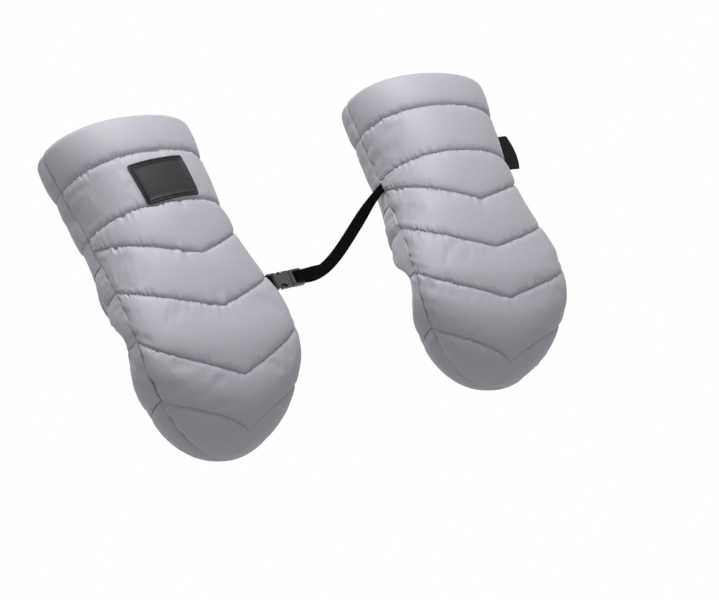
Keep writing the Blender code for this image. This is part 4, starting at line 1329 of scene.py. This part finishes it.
class MUFF_OT_webbing(bpy.types.Operator):
    """Weave the strap and the stub that carry the buckle"""

    bl_idname = "muff.webbing"
    bl_label = "Strap and stub"

    def execute(self, context):
        for name, node, body, make in (
            ("woven_stub", "left_webbing_stub", BODIES["left"], self.stub),
            ("woven_strap", "connecting_strap", BODIES["right"], self.strap),
        ):
            path, across = make(buckle_mouth())
            finish = finish_of(woven_webbing, chosen("webbing"))
            band = ribbon(name, path, across, WEBBING / 2, WEBBING_THICK / 2, finish)
            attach(band, body)
            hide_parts(node)
        return {"FINISHED"}

    def stub(self, mouth):
        """A doubled length from the left mitt's seam round the socket's bar."""
        x, y, z = mouth
        bar_end = x - SOCKET_LENGTH - SLOT
        bar_start = bar_end - (FRAME_LENGTH - SLOT)
        deep = BUCKLE_THICK / 2 - BUCKLE_BEVEL
        radius = PLY_GAP + WEBBING_THICK / 2
        middle, ahead = seam_place(1, STUB_FROM_TOE, WEBBING)
        seam = placed(middle, "left")
        along_seam = (placed(middle + ahead, "left") - seam) * np.array([1.0, 1.0, 0.0])
        pinch = np.array([0.0, 0.0, WEBBING_THICK / 2 + PLY_GAP / 2])
        at_bar = np.array([bar_start, y, z])
        lift = np.array([0.0, 0.0, deep + radius])
        halfway = seam + (at_bar - seam) * STUB_PINCH
        inside = seam - np.array([INTO_SEAM, 0.0, 0.0])
        corners = [inside + pinch, seam + pinch, halfway + pinch, at_bar + lift]
        corners += round_corner(bar_end, y, z + deep, radius, 90, 0)
        corners += round_corner(bar_end, y, z - deep, radius, 0, -90)
        corners += [at_bar - lift, halfway - pinch, seam - pinch, inside - pinch]
        path = smooth_path(corners, 70)
        near = ease((path[:, :1] - seam[0]) / (at_bar[0] - seam[0]))
        return path, along_seam * (1 - near) + np.array([0.0, 1.0, 0.0]) * near

    def strap(self, mouth):
        """One length: its tail, the turn round the ladder's inner bar and the run to the right mitt."""
        x, y, z = mouth
        slot = (PLUG_FRAME - 2 * PLUG_BAR) / 2
        bar_a = x + MOUTH_GAP + PLUG_SHOULDER + slot
        bar_b = bar_a + slot + PLUG_BAR
        out = bar_b + PLUG_BAR
        thin = BUCKLE_THICK / 2 - BUCKLE_BEVEL
        radius = PLY_GAP + WEBBING_THICK / 2
        lift = thin + radius
        middle, ahead = seam_place(-1, STRAP_FROM_TOE, WEBBING)
        anchor = placed(middle, "right")
        along_seam = (placed(middle + ahead, "right") - anchor) * np.array([1.0, 1.0, 0.0])
        raised = z + lift + TAIL_LIFT
        corners = [np.array([out + TAIL_LENGTH * k, y, raised - TAIL_LIFT * drop]) for k, drop in TAIL_BENDS]
        corners.append(np.array([bar_b, y, z + lift]))
        corners += round_corner(bar_a, y, z + thin, radius, 90, 180)
        corners += round_corner(bar_a, y, z - thin, radius, 180, 270)
        corners += [np.array([bar_b, y, z - lift]), np.array([out, y, z - lift])]
        first = smooth_path(corners, 70)
        leave = np.array([out + WEBBING / 2, y, z - lift])
        span = anchor - leave
        b = leave + np.array([span[0] * STRAP_LEAVES, 0.0, 0.0])
        c = anchor - span * STRAP_ARRIVES
        t = np.linspace(0.0, 1.0, 80)[:, None]
        run = leave * (1 - t) ** 3 + b * 3 * t * (1 - t) ** 2 + c * 3 * t * t * (1 - t) + anchor * t**3
        run[:, 2:] -= STRAP_SAG * np.sin(math.pi * t)
        ending = anchor + (anchor - c) / np.linalg.norm(anchor - c) * INTO_SEAM
        path = np.concatenate([first, run, [ending]])
        level = np.gradient(path, axis=0)
        across = np.stack([-level[:, 1], level[:, 0], np.zeros(len(path))], 1)
        across[: len(first)] = (0.0, 1.0, 0.0)
        across /= np.linalg.norm(across, axis=1, keepdims=True)
        along_seam /= np.linalg.norm(along_seam)
        near = np.zeros((len(path), 1))
        near[len(first) : len(first) + len(t)] = ease((t - 0.6) / 0.4)
        near[-1] = 1.0
        return path, across * (1 - near) + along_seam * near


def refinished(name, finish):
    """A solid of the model whose shape stays, with its finish changed."""
    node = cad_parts[name]
    node.data.materials.clear()
    node.data.materials.append(finish)
    return node


class MUFF_OT_buckle(bpy.types.Operator):
    """Mould the side-release buckle"""

    bl_idname = "muff.buckle"
    bl_label = "Side-release buckle"

    def execute(self, context):
        finish = finish_of(moulded_acetal, chosen("plastic"))
        self.round_edges(self.socket(finish))
        for name in ("buckle_plug", "buckle_cuff_prong", "buckle_toe_prong"):
            self.round_edges(refinished(name, finish))
        for edge, hand in (("cuff", 1), ("toe", -1)):
            pad = self.pad(f"{edge}_thumb_pad", hand, finish)
            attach(pad, f"{edge}_side_prong")
        return {"FINISHED"}

    def round_edges(self, piece):
        edges = piece.modifiers.new("Moulded edges", "BEVEL")
        edges.width = MOULDED_EDGE
        edges.segments = 2
        edges.limit_method = "ANGLE"
        edges.angle_limit = math.radians(40)
        edges.harden_normals = True

    def socket(self, finish):
        """The sleeve, with a scallop in each edge where a finger reaches the prong's pad."""
        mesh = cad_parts["buckle_socket"].data.copy()
        mesh.name = "scalloped_socket"
        mesh.materials.clear()
        mesh.materials.append(finish)
        socket = new_object("scalloped_socket", mesh)
        x, y, z = buckle_mouth()
        bm = bmesh.new()
        for hand in (1, -1):
            across = y + hand * (BUCKLE_HALF_WIDTH + SCALLOP_OUT)
            place = Matrix.Translation((x - SCALLOP_FROM_MOUTH, across, z))
            shape = {"radius1": SCALLOP_RADIUS, "radius2": SCALLOP_RADIUS, "depth": 2 * BUCKLE_THICK}
            bmesh.ops.create_cone(bm, cap_ends=True, segments=40, matrix=place, **shape)
        shape = bpy.data.meshes.new("scallops")
        bm.to_mesh(shape)
        bm.free()
        cutter = new_object("scallops", shape)
        cut = socket.modifiers.new("Scallops", "BOOLEAN")
        cut.operation = "DIFFERENCE"
        cut.solver = "EXACT"
        cut.object = cutter
        ready = socket.evaluated_get(bpy.context.evaluated_depsgraph_get())
        socket.data = bpy.data.meshes.new_from_object(ready)
        socket.modifiers.clear()
        bpy.data.objects.remove(cutter)
        bpy.data.meshes.remove(shape)
        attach(socket, BODIES["left"])
        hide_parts("buckle_socket")
        return socket

    def pad(self, name, hand, finish):
        """The rounded pad on a prong's head that a finger presses."""
        x, y, z = buckle_mouth()
        long, thick, high = PAD
        outside = BUCKLE_HALF_WIDTH + PAD_PROUD
        profile = []
        for turn in np.linspace(0.0, math.pi, 13):
            profile.append((math.cos(turn) * long / 2, outside - thick / 2 + math.sin(turn) * thick / 2))
        profile += [(-long / 2, outside - thick), (long / 2, outside - thick)]
        loops = []
        for share, inset in ((-1.0, PAD_ROUNDING), (-0.86, 0.0), (0.86, 0.0), (1.0, PAD_ROUNDING)):
            shrink, level = 1 - 2 * inset / long, z + share * high / 2
            ring = [(x - BUTTON_FROM_MOUTH + a * shrink, y + hand * (b - inset), level) for a, b in profile]
            loops.append(np.array(ring))
        return loops_to_piece(name, loops, None, finish)


class MUFF_OT_closure_tapes(bpy.types.Operator):
    """Sew on the hook and loop tapes"""

    bl_idname = "muff.closure_tapes"
    bl_label = "Hook and loop tapes"

    def execute(self, context):
        colour = tinted(chosen("webbing"), 2.2)
        for side in MITTS:
            for kind, tuft in (("hook", 1.5 * MM), ("loop", 2.2 * MM)):
                refinished(f"{side}_{kind}_tape", finish_of(closure_tape, colour, f"nylon_{kind}_tape", tuft))
        return {"FINISHED"}


# The studio

FLOOR = -0.9
FLOOR_HALF = 6.0
# Each lamp: how far back, up and right of the part it stands, then its size, power and colour
LAMPS = {
    "key_lamp": ((0.45, 1.6, -0.25), 0.9, 28.5, (1.0, 1.0, 1.0)),
    "fill_lamp": ((1.6, -0.2, 0.8), 1.6, 4.0, (0.98, 0.99, 1.0)),
}
CAMERA_AT = (0.0217, 0.0, 0.0)
CAMERA_TURN = (-61.43, 50.64, 42.36)
CAMERA_FAR = 1.8
FOCAL_PIXELS = 2200
PHOTO = (719, 600)
AXIS_PIXEL = (354.5, 305.9)


def camera_axes():
    """The camera's right, up and forward directions."""
    turn, rise, roll = (math.radians(a) for a in CAMERA_TURN)
    forward = Vector((-math.sin(turn) * math.cos(rise), math.cos(turn) * math.cos(rise), -math.sin(rise)))
    level = forward.cross(Vector((0, 0, 1))).normalized()
    upright = level.cross(forward)
    right = level * math.cos(roll) + upright * math.sin(roll)
    up = upright * math.cos(roll) - level * math.sin(roll)
    return right, up, forward


def soft_lamp(name, place, size, power, colour, aim):
    """A square soft box that looks at aim."""
    lamp = bpy.data.lights.new(name, "AREA")
    lamp.shape = "SQUARE"
    lamp.size = size
    lamp.energy = power
    lamp.color = colour
    holder = new_object(name, lamp)
    holder.location = place
    holder.rotation_euler = (Vector(aim) - Vector(place)).to_track_quat("-Z", "Y").to_euler()


def white_to_camera(tree, kind, lit):
    """Shows plain white instead of a lit surface to the camera, in reflections and through glass."""
    seen = add_node(tree, "ShaderNodeLightPath").outputs
    first = maths(tree, "MAXIMUM", {0: seen["Is Camera Ray"], 1: seen["Is Glossy Ray"]})
    share = maths(tree, "MAXIMUM", {0: first, 1: seen["Is Transmission Ray"]})
    white = add_node(tree, kind, values={"Color": (1, 1, 1, 1), "Strength": 1.0})
    return add_node(tree, "ShaderNodeMixShader", links={0: share, 1: lit, 2: white.outputs[0]}).outputs[0]


class MUFF_OT_stage(bpy.types.Operator):
    """Set up the camera, the lamps and the white studio"""

    bl_idname = "muff.stage"
    bl_label = "Studio"

    def execute(self, context):
        scene = context.scene
        right, up, forward = camera_axes()
        lens = bpy.data.cameras.new("studio_camera")
        lens.sensor_width = 36.0
        lens.lens = FOCAL_PIXELS * lens.sensor_width / PHOTO[0]
        lens.shift_x = (PHOTO[0] / 2 - AXIS_PIXEL[0]) / PHOTO[0]
        lens.shift_y = (AXIS_PIXEL[1] - PHOTO[1] / 2) / PHOTO[0]
        lens.clip_end = 20.0
        camera = new_object("studio_camera", lens)
        turned = Matrix((right, up, -forward)).transposed().to_4x4()
        camera.matrix_world = Matrix.Translation(Vector(CAMERA_AT) - forward * CAMERA_FAR) @ turned
        scene.camera = camera
        aim = Vector(CAMERA_AT)
        for name, ((back, above, aside), size, power, colour) in LAMPS.items():
            place = aim - forward * back + up * above + right * aside
            soft_lamp(name, place, size, power, colour, aim)
        self.floor()
        self.world(scene)
        scene.view_settings.view_transform = "Standard"
        return {"FINISHED"}

    def floor(self):
        """A wide pale floor that is white to the camera and keeps a soft shadow."""
        corners = [(x * FLOOR_HALF, y * FLOOR_HALF, FLOOR) for x, y in ((-1, -1), (1, -1), (1, 1), (-1, 1))]
        mesh = bpy.data.meshes.new("studio_floor")
        mesh.from_pydata(corners, [], [(0, 1, 2, 3)])
        floor = new_object("studio_floor", mesh)
        made, tree, shader = start_material("matt_studio_paper", linear("#F4F4F4"), {"Roughness": 0.9})
        mix = white_to_camera(tree, "ShaderNodeEmission", shader.outputs[0])
        tree.links.new(mix, tree.nodes["Material Output"].inputs["Surface"])
        mesh.materials.append(made)

    def world(self, scene):
        world = bpy.data.worlds.new("white_studio")
        world.use_nodes = True
        scene.world = world
        tree = world.node_tree
        tree.nodes.clear()
        light = {"Color": (*linear("#F4F5F8"), 1.0), "Strength": 0.36}
        soft = add_node(tree, "ShaderNodeBackground", values=light)
        mix = white_to_camera(tree, "ShaderNodeBackground", soft.outputs[0])
        add_node(tree, "ShaderNodeOutputWorld", links={"Surface": mix})


# The sidebar panel and the add-on's own calls

OPERATORS = (
    MUFF_OT_front_panels,
    MUFF_OT_wrist_panels,
    MUFF_OT_toe_cups,
    MUFF_OT_flaps,
    MUFF_OT_gussets,
    MUFF_OT_rubber_patch,
    MUFF_OT_side_tag,
    MUFF_OT_webbing,
    MUFF_OT_buckle,
    MUFF_OT_closure_tapes,
    MUFF_OT_stage,
)


class MUFF_PT_panel(bpy.types.Panel):
    bl_label = "Hand muffs"
    bl_idname = "MUFF_PT_panel"
    bl_space_type = "VIEW_3D"
    bl_region_type = "UI"
    bl_category = "Hand muffs"

    def draw(self, context):
        layout = self.layout
        for group in (context.scene.muff_sizes, context.scene.muff_colours):
            for name in group.__annotations__:
                layout.prop(group, name)
        for operator in OPERATORS:
            layout.operator(operator.bl_idname)


CLASSES = (MuffSizes, MuffColours, *OPERATORS, MUFF_PT_panel)


def register():
    for kind in CLASSES:
        bpy.utils.register_class(kind)
    bpy.types.Scene.muff_sizes = bpy.props.PointerProperty(type=MuffSizes)
    bpy.types.Scene.muff_colours = bpy.props.PointerProperty(type=MuffColours)


def unregister():
    del bpy.types.Scene.muff_sizes
    del bpy.types.Scene.muff_colours
    for kind in reversed(CLASSES):
        bpy.utils.unregister_class(kind)


def main():
    register()
    for operator in OPERATORS:
        group, name = operator.bl_idname.split(".")
        getattr(getattr(bpy.ops, group), name)()


if __name__ == "__main__":
    main()
